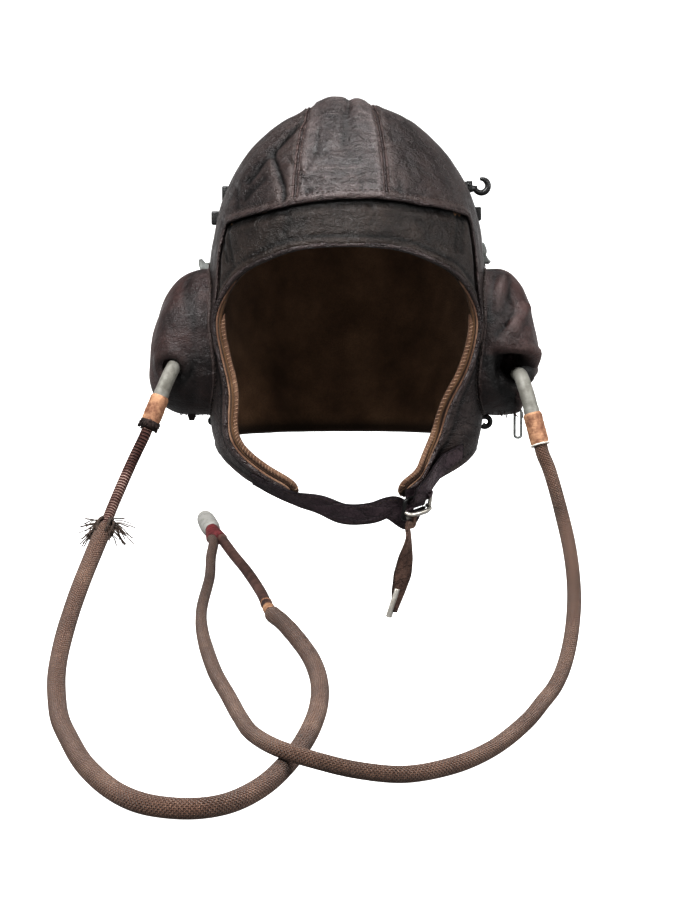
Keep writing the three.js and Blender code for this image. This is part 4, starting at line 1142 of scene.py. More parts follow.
def stitches(name, line, out, look, pitch=3.0, long=1.9, thick=0.34, lift=0.12):
    """Stitches along a line of points, each a short rounded thread lying along it."""
    joined, _ = evenly(np.hstack([line, out]), pitch)
    along = unit(np.gradient(joined[:, :3], axis=0))
    parts = []
    for place, way, up in zip(joined[:, :3], along, unit(joined[:, 3:])):
        centre = place + up * lift
        ends = [centre - way * long / 2 - up * thick, centre, centre + way * long / 2 - up * thick]
        parts.append(tube(np.array(ends), [thick * 0.6, thick, thick * 0.6], 5))
    return add_tubes(name, parts, look)


def calmed(line, rounds=5):
    """A line of points with small steps taken out, its ends kept."""
    line = line.copy()
    for _ in range(rounds):
        line[1:-1] = (line[:-2] + line[1:-1] * 2 + line[2:]) / 4
    return line


def seam_line(rows):
    """A calmed line along a cut: places on the raised face, the ways out, and places before the raise."""
    line = calmed(evenly(rows[:, : RAISE + 1], 1.4)[0], 8)
    out = unit(line[:, 3:6])
    return line[:, :3] + out * (line[:, RAISE, None] + 0.1), out, line[:, :3]


def build_seams(crown, crown_faces, hem_fresh, middle, middle_faces, seam_fresh):
    """The rolled hem above the brow band and the raised welts of the crown's two seams."""
    hem = crown[rim_lines(crown_faces, hem_fresh)[0]]
    places, out, at = seam_line(hem)
    front = fade(-at[:, 1], 48, 10)
    places[:, 2] += front * (0.5 + 0.7 * wobble(places, 13))
    radius = (0.6 + 0.6 * front) * (1 + 0.20 * wobble(places, 9))
    add_tubes("crown_hem_roll", [tube(places, radius, 12)], WELT)
    above_hem = places + out * (radius * 0.35)[:, None]
    above_hem[:, 2] += 3.6
    keep = front > 0.9
    stitches("hem_stitches", above_hem[keep], out[keep], THREAD, pitch=3.0, long=1.7, thick=0.28)
    parts, edges = [], []
    for index, run in enumerate(rim_lines(middle_faces, seam_fresh)[:2]):
        places, out, _ = seam_line(middle[run])
        parts.append(tube(places, 0.6 * (1 + 0.15 * wobble(places, 8)), 10))
        along = unit(np.gradient(places, axis=0))
        across = unit(np.cross(along, out))
        for shift in (-1.45, 1.45):
            fold = places + across * shift + out * 0.35
            edges.append(tube(fold, 0.75 * (1 + 0.2 * wobble(fold, 7, shift)), 10))
        for word, shift in (("inner", -3.4), ("outer", 3.4)):
            row = places + across * shift
            stitches(f"seam_stitches_{index}_{word}", row, out, THREAD, 3.2, 1.8, 0.30, 1.1)
    add_tubes("crown_seam_welts", parts, ROLL)
    add_tubes("crown_seam_edges", edges, SEAM_EDGE)


# Folds beside a line in millimetres: how far from it, how wide, how high
TOP_FOLDS = [(0.8, 2.2, -1.9), (7.5, 3.6, 1.3), (-11, 6, 0.9)]
SEAM_FOLDS = [(0, 1.7, -1.15), (3.6, 1.9, 0.45)]
HEM_FOLDS = [(2.4, 2.2, 1.5), (6.0, 1.0, -0.5), (0, 0.7, -0.3)]
SIDE_HEM_FOLDS = [(0, 0.7, -0.5)]
BAND_FOLDS = [(-1, 4.2, -1.9), (7.0, 2.4, 0.5)]
EDGE_FOLDS = [(2.2, 1.7, 0.9), (5.4, 0.8, -0.6), (0, 0.9, -0.7)]
EAR_CALM = 38


def off_ear_hole(points, room=0.0):
    """Distance from the round hole under an ear cup, negative inside it."""
    return np.hypot(points[:, 1] - CUP_CENTRE[1], points[:, 2] - CUP_CENTRE[2]) - EAR_HOLE / 2 - room


def on_top(points):
    return fade(points[:, 2], -22, 12) * fade(points[:, 1], -50, 20)


def wrinkles(points, out):
    """The leather's creases and soft dents, calmer round the ears."""
    soft = 0.9 * wobble(points, 34) + 0.5 * wobble(points, 14, 5.0) + 0.2 * wobble(points, 7, 9.0)
    creased = CREASE_DEPTH * crease_height(points, out, CREASES)
    creased += on_top(points) * humps(points[:, 0], TOP_FOLDS)
    creased += crease_height(points, out, [(1.1, -0.9, line) for line in BAND_SEAMS])
    sideways = np.exp(-(((np.abs(points[:, 0]) - HALF_BREADTH + 0.5) / 9) ** 4))
    ears = sideways * np.exp(-((off_ear_hole(points, -EAR_HOLE / 2) / EAR_CALM) ** 4))
    return (soft + creased) * (1 - 0.7 * ears)


def body_marks(points, out, brow, centre, border, at_front):
    """How far the crown and the sides are darkened with painted shade and lightened with wear and painted
    highlight.
    """
    # Painted shade along the creases; the ridges beside them paler, partly wear and partly painted highlight.
    dark, light = line_marks(points, out, CREASES)
    # Painted shade in the brow band's seam grooves.
    dark += line_marks(points, out, [(1.6, -1, line) for line in BAND_SEAMS])[0] * 0.8
    back, up = np.abs(from_cup_centre(points)) ** 2.5
    # Painted shadow in a ring round each cup where it meets the side panel.
    dark += humps(np.sqrt(back + up), [(1.05, 0.09, 0.8)])
    # Painted shade in the stitch groove along the edge and in the fold along the top of the crown.
    dark += 0.8 * humps(border, [(5.4, 1.1, 1)]) + 0.5 * on_top(points) * humps(points[:, 0], [(0.8, 1.8, 1)])
    # Painted highlight along the hem roll and the ridges beside the seams.
    light += humps(-brow, [(2.6, 1.5, 0.35)]) * at_front + humps(np.abs(centre), [(4.2, 1.6, 0.25)])
    # Painted light: the upper right of the helmet is made lighter.
    light += 0.3 * fade(points[:, 2], -75, 50) * fade(points[:, 0], 24, 40)
    return dark, light


def build_crown_and_sides(rows, faces):
    """The panels above the brow band, whose rows are cut by the brow, the centre and the ear holes."""
    crown, crown_faces, hem_fresh = clip(rows, faces, rows[:, CUT])
    middle, middle_faces, seam_fresh = clip(crown, crown_faces, crown[:, CUT + 1])
    build_seams(crown, crown_faces, hem_fresh, middle, middle_faces, seam_fresh)
    leather_sheet("crown_centre_panel", middle, middle_faces, CROWN, ["crown_center"])
    flank, flank_faces, _ = clip(crown, crown_faces, -crown[:, CUT + 1])
    flank, flank_faces, _ = clip(flank, flank_faces, flank[:, CUT + 2])
    for side, word in ((-1, "left"), (1, "right")):
        half, half_faces, _ = clip(flank, flank_faces, flank[:, 0] * side)
        leather_sheet(f"side_panel_{word}", half, half_faces, SIDE, [f"side_{word}"])


def build_body():
    """The crown, the sides and the brow band. Returns the rows along the leather's edge."""
    rows, faces = body_grid()
    kept, faces, fresh = clip(rows, faces, signed_inside(rows[:, 1:3], edge_polygon()))
    edge = kept[rim_lines(faces, fresh)[0]]
    points, out = kept[:, :3], kept[:, 3:6]
    brow = brow_inside(points)
    centre = centre_inside(points)
    border = signed_inside(points[:, 1:3], edge_polygon())
    at_front = fade(-points[:, 1], 44, 8)
    calm = wrinkles(points, out)
    rolled = humps(border, EDGE_FOLDS)
    hem = humps(-brow, HEM_FOLDS) * at_front + humps(-brow, SIDE_HEM_FOLDS) * (1 - at_front)
    dark, light = body_marks(points, out, brow, centre, border, at_front)
    raised = calm + humps(np.abs(centre), SEAM_FOLDS) + hem + rolled * 0.8
    above = np.column_stack([kept, raised, dark, light, -brow, centre, off_ear_hole(points)])
    build_crown_and_sides(above, faces)
    raised = calm + humps(brow, BAND_FOLDS) * at_front + rolled
    # Painted shadow in the gap under the crown's hem.
    dark = dark + humps(brow, [(1.4, 3.4, 1)]) * at_front
    below = np.column_stack([kept, raised, dark, 0 * light, brow + BAND_TUCK])
    band, band_faces, _ = clip(below, faces, below[:, CUT])
    leather_sheet("brow_band_leather", band, band_faces, BROW, ["brow_band"])
    return edge


def build_lining():
    rows, faces = body_grid(2.6)
    rows[:, :3] -= rows[:, 3:6] * (LEATHER + GAP)
    kept, faces, _ = clip(rows, faces, signed_inside(rows[:, 1:3], edge_polygon(LINING_SHOWS)))
    kept, faces, _ = clip(kept, faces, off_ear_hole(kept, 2))
    points = kept[:, :3]
    pressed = CREASE_DEPTH * np.minimum(crease_height(points, kept[:, 3:6], CREASES), 0)
    height = 0.25 * wobble(points, 14) - 0.15 + 1.2 * pressed
    # Painted shade on the lining near the leather's edge.
    dark = humps(signed_inside(points[:, 1:3], edge_polygon()), [(1.5, 4.5, 0.92)])
    rows = np.column_stack([kept, height, dark, 0 * dark])
    leather_sheet("suede_lining", rows, faces, SUEDE, ["lining"], LINING)


def edge_parts(edge):
    """The leather's edge, evenly spaced and calmed, with its ways out and off the leather."""
    even, _ = evenly(edge, 1.2)
    line = even[:-1]
    for _ in range(4):
        line = (np.roll(line, 1, 0) + line * 2 + np.roll(line, -1, 0)) / 4
    along = unit(np.roll(line[:, :3], -1, 0) - np.roll(line[:, :3], 1, 0))
    out = unit(line[:, 3:6])
    off = unit(np.cross(along, out))
    inner = signed_inside((line[:, :3] + off * 3)[:, 1:3], edge_polygon())
    off *= -np.sign(np.median(inner))
    return line[:, :3], along, out, off


def stretches(mask):
    """Runs of neighbouring points, round the end of the closed line too."""
    count = len(mask)
    starts = [i for i in range(count) if mask[i] and not mask[i - 1]]
    runs = []
    for start in starts:
        run = []
        while mask[(start + len(run)) % count] and len(run) < count:
            run.append((start + len(run)) % count)
        runs.append(run)
    return runs or [list(range(count)) + [0]]


def tapered(count, radius, ends=6):
    at = np.minimum(np.arange(count), np.arange(count)[::-1])
    return radius * np.clip(0.25 + at / ends, 0, 1)


# How far down and forward the lining's tan edge and its roll begin, as shares of the helmet
TAN_EDGE_FROM = (CHEEK_TOP, 0.40)
ROLL_FROM = (0.545, 0.44)


def build_edges(edge):
    place, along, out, off = edge_parts(edge)
    down = (CROWN_TOP - place[:, 2]) / HELMET_HEIGHT
    forward = -place[:, 1] / FRONT_REACH
    roll = place - out * 0.7 - off * 0.6
    closed = np.vstack([roll, roll[:1]])
    add_tubes("rolled_edge", [tube(closed, 1.5 + 0.15 * wobble(closed, 8), 12, caps=False)], ROLL)
    parts = []
    for run in stretches((down > TAN_EDGE_FROM[0]) & (forward > TAN_EDGE_FROM[1])):
        line = (place - out * 2.0 + off * 0.7)[run]
        parts.append(tube(line, tapered(len(run), 0.85) * (1 + 0.22 * wobble(line, 5)), 10))
    add_tubes("tan_cut_edge", parts, PIPING)
    parts, folds, loops = [], [], []
    for run in stretches((down > ROLL_FROM[0]) & (forward > ROLL_FROM[1])):
        line = (place - out * 3.5 + off * 1.5)[run]
        folds.append(tube(line, tapered(len(run), 1.5, 2), 10))
        line = (place - out * 4.9 + off * 3.3)[run]
        line += 0.5 * wobble(line, 18)[:, None] * off[run]
        shape = tapered(len(run), 1.45) * (1 + 0.12 * wobble(line, 7))
        parts.append(tube(line, shape, 12))
        for index in range(4, len(run) - 4, 2):
            at = run[index]
            turn = np.linspace(-0.3, 2.4, 7)[:, None]
            around = off[at] * np.cos(turn) + out[at] * np.sin(turn)
            loop = line[index] + around * (shape[index] + 0.12) + along[at] * (turn - 1) * 0.55
            loops.append(tube(loop, 0.26, 5))
    add_tubes("lining_roll", parts, ROLLED)
    # The fold takes the darker suede, as painted shade.
    add_tubes("lining_fold", folds, SHADED_SUEDE)
    add_tubes("whip_stitches", loops, TAN_THREAD)


edge = build_body()
build_lining()
build_edges(edge)


# Ear cups, stubs and sleeves

CUP_POWER = 2 / 2.7
# Folds of the cups: width and height in millimetres, then points in pixels of the photo
CUP_FOLDS = {
    "left": [
        (3.0, -1.0, [(198, 292), (195, 320), (197, 355), (196, 398)]),
        (4.0, 0.9, [(203, 300), (202, 340), (203, 390)]),
        (3.0, -0.9, [(186, 378), (190, 398)]),
        (5.0, 0.8, [(176, 300), (166, 330), (163, 355)]),
        (2.2, -0.7, [(182, 346), (190, 360), (191, 375)]),
        (2.0, 0.9, [(163, 358), (172, 353), (182, 358), (186, 368)]),
    ],
    "right": [
        (2.8, 2.6, [(503, 283), (498, 296), (496, 310)]),
        (2.4, -2.4, [(493, 281), (490, 298), (489, 320)]),
        (2.8, -2.6, [(513, 316), (505, 329), (497, 336)]),
        (3.2, 2.6, [(523, 309), (512, 330), (499, 342)]),
        (3.0, -1.5, [(510, 296), (517, 308), (521, 325)]),
        (2.2, 4.0, [(489, 351), (500, 349), (513, 347), (524, 348), (532, 353), (537, 363)]),
        (5.2, -12.5, [(496, 362), (505, 362), (519, 362), (529, 367)]),
        (4.5, -6.0, [(498, 371), (509, 373), (518, 374)]),
        (9.0, -3.0, [(498, 386), (508, 394), (514, 402)]),
        (2.0, -1.0, [(490, 402), (503, 403), (513, 400)]),
    ],
}


# The right cup is pressed in past this far out: by one share all over, by another low beside its tube
TUCK_OUT = 20
TUCK_TOP = 16
TUCK_BLEND = 10
TUCK_ALL = 0.22
TUCK_LOW = 0.85


def cup_surface(word):
    """Rings of points of one cup's dome from its base out, with its dents."""
    side = side_of(word)
    columns = 168
    turn = np.arange(columns) * 2 * math.pi / columns
    rise = np.linspace(0, 1.5, 52)
    share = np.concatenate([np.ones(9), signed_power(np.cos(rise), CUP_POWER)])
    base = CUP_CENTRE[0] - CUP_DEPTH / 2
    x = np.concatenate([
        np.linspace(base, CUP_CENTRE[0], 10)[:-1],
        CUP_CENTRE[0] + CUP_DEPTH * signed_power(np.sin(rise), CUP_POWER),
    ])
    y = signed_power(np.cos(turn), CUP_SQUARE)[None] * CUP_LENGTH / 2 * share[:, None]
    z = signed_power(np.sin(turn), CUP_SQUARE)[None] * CUP_HEIGHT / 2 * share[:, None]
    drop = np.where(np.arange(len(x)) < 9, 0, 0.1 * CUP_HEIGHT * (1 - share))[:, None]
    points = np.stack([
        side * x[:, None] * (1 - 0.1 * z / CUP_HEIGHT),
        CUP_CENTRE[1] + y,
        CUP_CENTRE[2] + z - drop,
    ], -1)
    centre = cup_point(side, 0, 0, 0)
    moved = points.copy()
    for dent_side, out, back, up, spread, deep in CUP_DENTS:
        if dent_side != side:
            continue
        place = cup_point(side, out, back, up)
        away = np.linalg.norm(points - place, axis=-1) / (spread * CUP_HEIGHT)
        moved += (np.exp(-away * away) * deep * CUP_HEIGHT)[..., None] * unit(centre - place)
    if word == "right":
        past = np.maximum(moved[..., 0] - CUP_CENTRE[0] - TUCK_OUT, 0)
        low = eased((CUP_CENTRE[2] - moved[..., 2] - TUCK_TOP) / TUCK_BLEND)
        moved[..., 0] -= past * (TUCK_ALL + (TUCK_LOW - TUCK_ALL) * low)
    return moved


def cup_mesh(word):
    """Triangles over one cup's dome: rows of place and way out."""
    side = side_of(word)
    surface = cup_surface(word)
    rings, columns = surface.shape[:2]
    around = np.roll(surface, -1, 1) - np.roll(surface, 1, 1)
    outward = np.gradient(surface, axis=0)
    out = unit(np.cross(around, outward))
    centre = vec(side * (CUP_CENTRE[0] - 20), CUP_CENTRE[1], CUP_CENTRE[2])
    out *= np.sign(np.sum(out * (surface - centre), -1, keepdims=True))
    rows = np.concatenate([surface, out], -1).reshape(-1, 6)
    pole = np.concatenate([surface[-1].mean(0), [side, 0, 0]])
    rows = np.vstack([rows, pole])
    last = (rings - 1) * columns
    fan = [(len(rows) - 1, last + s, last + (s + 1) % columns) for s in range(columns)]
    faces = np.vstack([halved(ring_quads(rings, columns)), fan])
    return rows, faces[:, ::-1] if side > 0 else faces


def build_cup(word):
    """A cup with its folds, cut off at the wall and open where its stub comes out."""
    side = side_of(word)
    rows, faces = cup_mesh(word)
    points, out = rows[:, :3], rows[:, 3:6]
    folds = crease_height(points, out, CUP_FOLDS[word])
    folds += 1.2 * wobble(points, 26, 3.0 * side) + 0.55 * wobble(points, 11, 7.0)
    seam = np.hypot(*from_cup_centre(points))
    mouth = np.min(np.linalg.norm(points[:, None] - stub_curve(word)[None, ::4], axis=2), axis=1)
    height = folds * fade(np.abs(points[:, 0]), 84, 6) + humps(seam, [(1.02, 0.03, -0.5)])
    height += humps(mouth, [(8.5, 1.6, 0.9)])
    # Painted shade in the folds, round the tube's mouth and where the cup meets the wall; painted highlight
    # on the fold ridges and the lip.
    dark, light = line_marks(points, out, CUP_FOLDS[word], 0.9, 0.24, 0.11)
    dark += humps(mouth, [(4, 5, 0.85)]) + humps(seam, [(1.02, 0.035, 0.7)])
    wall = side_point(side, points[:, 1], points[:, 2])[0][:, 0] * side
    off_wall = np.abs(points[:, 0]) - wall + 0.9
    off_stub = mouth - STUB_WIDTH / 2 - 1.9
    rows = np.column_stack([rows, height, dark, light, off_wall, off_stub])
    rows, faces, _ = clip(rows, faces, rows[:, CUT])
    rows, faces, _ = clip(rows, faces, rows[:, CUT + 1])
    leather_sheet(f"ear_cup_{word}_leather", rows, faces, CUP, [f"ear_cup_{word}"], CUP_LEATHER)


def build_welt(word):
    """The stitched welt where a cup meets its side panel."""
    side = side_of(word)
    turn = np.linspace(0, 2 * math.pi, 161)
    y = CUP_CENTRE[1] + signed_power(np.cos(turn), CUP_SQUARE) * (CUP_LENGTH / 2 + 1.2)
    z = CUP_CENTRE[2] + signed_power(np.sin(turn), CUP_SQUARE) * (CUP_HEIGHT / 2 + 1.2)
    place, out = side_point(side, y, z, -0.6)
    line, _ = evenly(np.hstack([place, out]), 1.2)
    welt = tube(line[:, :3], 1.15 + 0.15 * wobble(line[:, :3], 9), 10, caps=False)
    add_tubes(f"cup_welt_{word}", [welt], SIDE)
    place, out = side_point(side, y + np.cos(turn) * 3.2, z + np.sin(turn) * 3.2, -0.5)
    stitches(f"welt_stitches_{word}", place, out, THREAD, pitch=3.4)


def build_stub(word):
    path = stub_curve(word, 0.8)
    radius = np.full(len(path), STUB_WIDTH / 2)
    radius[-6:] += 0.25
    radius += 0.05 * wobble(path, 6)
    points, faces, uv = tube(path, radius, 32)
    add_mesh(f"stub_{word}_tube", leaned(points), faces, [STUB], [f"stub_{word}"], uv)


def build_sleeve(word):
    """The tape wound round the stub's end."""
    along, top, low = sleeve_ends(word)
    line = np.linspace(top - along * 1.5, low + along * 0.4, 56)
    lengths = np.linspace(0, SLEEVE_LENGTH, len(line))

    def wraps(length, turn):
        wound = np.mod(length / 4.1 + turn / (2 * math.pi), 1)
        return 1 + 0.05 * np.minimum(wound * 6, 1) - 0.03 * wound

    radius = SLEEVE_WIDTH / 2 * (0.95 + 0.03 * wobble(line, 5))
    radius *= np.interp(lengths, [0, 1.2, SLEEVE_LENGTH - 2, SLEEVE_LENGTH], [0.9, 1, 1, 0.9])
    sleeve = tube(line, radius, 40, shape=wraps)
    add_tubes(f"sleeve_{word}_tape", [sleeve], SLEEVE, [f"sleeve_{word}"])


def build_whipping():
    """The pale thread round the right sleeve's end."""
    along, _, low = sleeve_ends("right")
    ring = tube(np.array([low - along * 0.1, low + along * 0.7]), SLEEVE_WIDTH / 2 + 0.1, 32)
    add_tubes("pale_whipping", [ring], PALE_THREAD)


def build_charred_end():
    """The burnt, torn tape round the left sleeve's end."""
    rng = np.random.default_rng(3)
    along, _, low = sleeve_ends("left")
    parts = []
    for _ in range(26):
        turn = rng.uniform(0, 2 * math.pi)
        out = vec(math.cos(turn), math.sin(turn), 0)
        out = unit(out - along * (out @ along))
        start = low - along * rng.uniform(0, 3) + out * (SLEEVE_WIDTH / 2 - 0.5)
        end = start + along * rng.uniform(1, 3.5) + out * rng.uniform(0.2, 1.4)
        parts.append(tube(np.array([start, (start + end) / 2 + out * 0.2, end]), rng.uniform(0.4, 0.9), 6))
    ends = np.array([low - along * 2.6, low + along * 1.6])
    ring = tube(ends, [SLEEVE_WIDTH / 2 + 0.2, SLEEVE_WIDTH / 2 - 0.5], 32)
    add_tubes("charred_tape_end", [*parts, ring], CHARRED)


def build_cup_threads():
    """Loose threads and torn leather along the cups' lower edges."""
    rng = np.random.default_rng(11)
    parts = []
    for side, low, high, count in ((-1, 0.05, 0.55, 16), (1, 0.0, 0.7, 22)):
        for _ in range(count):
            out = rng.uniform(low, high)
            back = rng.uniform(-16, 4)
            start = cup_point(side, out, 0, -0.5) + vec(0, back, 1.6 - 3.0 * out * out)
            reach = rng.uniform(1.5, 5.0)
            bend = rng.normal(0, 1.2, 3)
            line = [start, start - vec(0, 0, reach * 0.5) + bend * 0.3, start - vec(0, 0, reach) + bend]
            parts.append(tube(smoothed(line, 4), rng.uniform(0.18, 0.42), 5))
    add_tubes("cup_threads", parts, CUP)


for word, finish_end in (("left", build_charred_end), ("right", build_whipping)):
    build_cup(word)
    build_welt(word)
    build_stub(word)
    build_sleeve(word)
    finish_end()
build_cup_threads()


# Straps and buckle

BUCKLE_BARS = unit(vec(0.75, 0.62, 0.2))
BUCKLE_UP = unit(np.cross(vec(0.643, -0.657, -0.375), BUCKLE_BARS))
BUCKLE_OUT = np.cross(BUCKLE_BARS, BUCKLE_UP)
BUCKLE_CENTRE = vec(0.48 * HALF_BREADTH, -0.66 * FRONT_REACH, CROWN_TOP - 1.022 * HELMET_HEIGHT)

# across, forward, down, then the way the strap's outer face looks
CHIN_ROUTE = [
    (-0.35, 0.675, 1.006, (-0.4, -0.5, -0.8)),
    (-0.185, 0.70, 1.019, (-0.2, -0.75, -0.65)),
    (-0.02, 0.71, 1.041, (0, -0.8, -0.6)),
    (0.165, 0.70, 1.039, (0.2, -0.8, -0.55)),
    (0.30, 0.675, 1.026, (0.4, -0.75, -0.5)),
]
# From the buckle's centre: right, back, down, the way the face looks, and the share of the width
TAIL_DROP = [
    (-5.5, -7.0, 11, (0.95, -0.35, 0), 0.35),
    (-5.0, -8, 17, (0.97, -0.25, 0), 0.55),
    (-6.5, -8.5, 28, (0.82, -0.57, 0), 0.9),
    (-8.5, -8.5, 39, (0.72, -0.7, 0), 1.0),
    (-10.6, -8.5, 48, (0.75, -0.65, 0), 0.8),
    (-13.0, -8.5, 60, (0.8, -0.6, 0), 0.2),
]
LOW_BAR = -BUCKLE_HEIGHT / 2
HIGH_BAR = BUCKLE_HEIGHT / 2
TIP_START = (-11.5, -8.5, 48)
TIP_DROP = (-16, -8.5, 62)


def from_buckle(up, out):
    return BUCKLE_CENTRE + BUCKLE_UP * up + BUCKLE_OUT * out


def drop_point(row):
    return BUCKLE_CENTRE + vec(row[0], row[1], -row[2])


def round_bar(bar, towards):
    clear = BUCKLE_WIRE / 2 + GAP + STRAP_THICKNESS / 2 + 0.3
    return [
        (from_buckle(bar, -towards * clear), BUCKLE_OUT, 1),
        (from_buckle(bar + towards * (clear + 0.6), 0), -BUCKLE_UP, 1),
        (from_buckle(bar, towards * clear), -BUCKLE_OUT, 1),
    ]


def strap(
    name, rows, look, nodes, slot, thickness=STRAP_THICKNESS, width=STRAP_WIDTH, thread=THREAD, power=0.3
):
    """A flat strap with rounded edges: rows are place, facing and share of the width."""
    places = np.array([row[0] for row in rows])
    count = 20
    path = smoothed(places, count)
    at = np.arange(len(path)) / count
    index = np.arange(len(rows))
    facing = np.stack([np.interp(at, index, [row[1][k] for row in rows]) for k in range(3)], -1)
    share = np.interp(at, index, [row[2] for row in rows])
    kernel = np.ones(9) / 9
    for k in range(3):
        facing[:, k] = np.convolve(np.pad(facing[:, k], 4, mode="edge"), kernel, "valid")
    share = np.convolve(np.pad(share, 4, mode="edge"), kernel, "valid")
    along = unit(np.gradient(path, axis=0))
    across = unit(np.cross(along, facing))
    out = np.cross(across, along)
    sides = 28
    turn = np.arange(sides) * 2 * math.pi / sides
    wide = signed_power(np.cos(turn), power) * width / 2
    thick = signed_power(np.sin(turn), 0.6) * thickness / 2
    wavy = 1 + 0.05 * wobble(path, 15)
    points = (
        path[:, None]
        + across[:, None] * (wide[None] * (share * wavy)[:, None])[..., None]
        + out[:, None] * thick[None, :, None]
    )
    points += (0.22 * wobble(points.reshape(-1, 3), 9)).reshape(len(path), sides)[..., None] * out[:, None]
    faces = ring_quads(len(path), sides).tolist() + flat_ends(len(path), sides)
    piece = add_mesh(name, leaned(points.reshape(-1, 3)), faces, [look], nodes)
    if thread is not None:
        for edge_side, word in ((-1, "a"), (1, "b")):
            offset = across * ((width / 2 - 2.0) * share * edge_side)[:, None] + out * (thickness / 2)
            stitches(f"{name}_stitches_{word}", path + offset, out, thread, pitch=3.2, thick=0.26)
    return piece


def loop_wire(name, corners, radius, look, nodes, corner=2.2, sides=14):
    """A closed wire through the corners of a flat frame, with its corners rounded."""
    corners = np.asarray(corners, float)
    line = []
    for i, here in enumerate(corners):
        before, after = corners[i - 1], corners[(i + 1) % len(corners)]
        a = here + unit(before - here) * corner
        b = here + unit(after - here) * corner
        for t in np.linspace(0, 1, 7):
            line.append(a * (1 - t) ** 2 + here * 2 * t * (1 - t) + b * t**2)
    line = np.array(line)
    normal = unit(np.cross(corners[1] - corners[0], corners[2] - corners[1]))
    along = unit(np.roll(line, -1, 0) - np.roll(line, 1, 0))
    across = unit(np.cross(along, normal))
    turn = np.arange(sides) * 2 * math.pi / sides
    points = (
        line[:, None] + across[:, None] * (radius * np.cos(turn))[None, :, None]
        + normal[None, None] * (radius * np.sin(turn))[None, :, None]
    )
    faces = ring_quads(len(line), sides, closed=True).tolist()
    return add_mesh(name, leaned(points.reshape(-1, 3)), faces, [look], nodes)


def strap_seat(side, forward, down, lift=0.0):
    """A place where a strap lies on the wall, lifted off it by so much more."""
    clear = GAP + STRAP_THICKNESS / 2 + 0.4 + lift
    return side_point(side, float(forward_of(forward)), float(level_of(down)), -clear)[0]


def build_chin_strap():
    rows = [
        (strap_seat(-1, 0.53, 0.955), (-0.6, -0.4, -0.65), 0.75),
        (strap_seat(-1, 0.61, 0.980), (-0.5, -0.45, -0.75), 0.9),
    ]
    for across, forward, down, facing in CHIN_ROUTE:
        place = vec(across * HALF_BREADTH, -forward * FRONT_REACH, level_of(down))
        rows.append((place, facing, 1))
    rows.append((from_buckle(LOW_BAR - 4, -4.2), BUCKLE_OUT, 0.95))
    turn = round_bar(LOW_BAR, 1)
    strap("chin_strap_leather", rows + turn[:2], STRAP, ["chin_strap"], "strap")
    tail = [(from_buckle(LOW_BAR + up, 2.7) - BUCKLE_BARS * 3.5, -BUCKLE_OUT, 0.2) for up in (4.4, 0, -4)]
    tail += [(drop_point(row), tuple(-v for v in row[3]), row[4]) for row in TAIL_DROP]
    strap("strap_free_end", tail, TAIL, [], "strap", thread=None)


def build_buckle_strap():
    """The buckle's own strap, and a thin flap of leather behind the buckle."""
    rows = [
        (strap_seat(1, 0.39, 0.90), (0.9, -0.35, -0.3), 0.8),
        (strap_seat(1, 0.48, 0.94, 0.7), (0.85, -0.45, -0.3), 1),
        (from_buckle(HIGH_BAR + 5, 4.6), BUCKLE_OUT, 1),
        *round_bar(HIGH_BAR, -1),
        (from_buckle(HIGH_BAR + 4, -3.8), -BUCKLE_OUT, 1),
    ]
    strap("buckle_strap_leather", rows, STRAP, ["buckle_strap"], "strap")
    behind = [(from_buckle(up, -6.4), BUCKLE_OUT, share) for up, share in ((9, 1.0), (2, 1.15), (-5.5, 0.9))]
    behind = [(place + BUCKLE_BARS * 6, facing, share) for place, facing, share in behind]
    strap("buckle_shield", behind, STRAP, [], "strap", 1.4)


def build_buckle():
    """The wire frame, silver where it shows and black as painted shade where the straps cover it, and the bar
    in front of it.
    """
    half = STRAP_WIDTH / 2 + 1.6 + BUCKLE_WIRE / 2
    signs = ((-1, LOW_BAR), (1, LOW_BAR), (1, HIGH_BAR), (-1, HIGH_BAR))
    corners = [BUCKLE_CENTRE + BUCKLE_BARS * half * a + BUCKLE_UP * up for a, up in signs]
    wire = loop_wire("buckle_wire", corners, BUCKLE_WIRE / 2, SILVER, ["buckle"])
    wire.data.materials.append(BLACK)
    seen = leaned(from_buckle(0, 0)[None])[0]
    bars, up = (leaned(v[None])[0] for v in (BUCKLE_BARS, BUCKLE_UP))
    # Faces that the straps cover take the black enamel, as painted shade.
    for face in wire.data.polygons:
        away = np.array(face.center) / MM - seen
        covered = away @ bars < -0.72 * half or away @ up > 0.6 * HIGH_BAR
        face.material_index = 1 if covered and away @ bars < 0.8 * half else 0
    keeper = [
        from_buckle(LOW_BAR + 4.6, out) + BUCKLE_BARS * half * across
        for across, out in ((-0.9, 0), (-0.88, 2.8), (-0.75, 4.4), (0.6, 4.4), (0.75, 2.8), (0.78, 0))
    ]
    add_tubes("buckle_keeper", [tube(smoothed(keeper, 6), 1.15, 14)], SILVER)


def build_strap_tip():
    start = drop_point(TIP_START)
    way = unit(drop_point(TIP_DROP) - start)
    facing = (1, -0.15, 0)
    widths = ((-0.12, 0.95), (0.6, 0.9), (1, 0.72))
    rows = [(start + way * (GAP + TIP_LENGTH * share), facing, wide) for share, wide in widths]
    size = (STRAP_THICKNESS + 1, STRAP_WIDTH * 0.8)
    strap("strap_tip_metal", rows, SILVER, ["strap_tip"], "silver", *size, None, 0.2)


build_chin_strap()
build_buckle_strap()
build_buckle()
build_strap_tip()


# Metal fittings


def block(name, centre, size, look, node=(), bevel=0.6):
    x, y, z = (v / 2 for v in size)
    corners = np.array([(a * x, b * y, c * z) for a in (-1, 1) for b in (-1, 1) for c in (-1, 1)])
    faces = [(0, 1, 3, 2), (4, 6, 7, 5), (0, 4, 5, 1), (2, 3, 7, 6), (0, 2, 6, 4), (1, 5, 7, 3)]
    return add_block(name, corners + centre, faces, look, node, bevel)


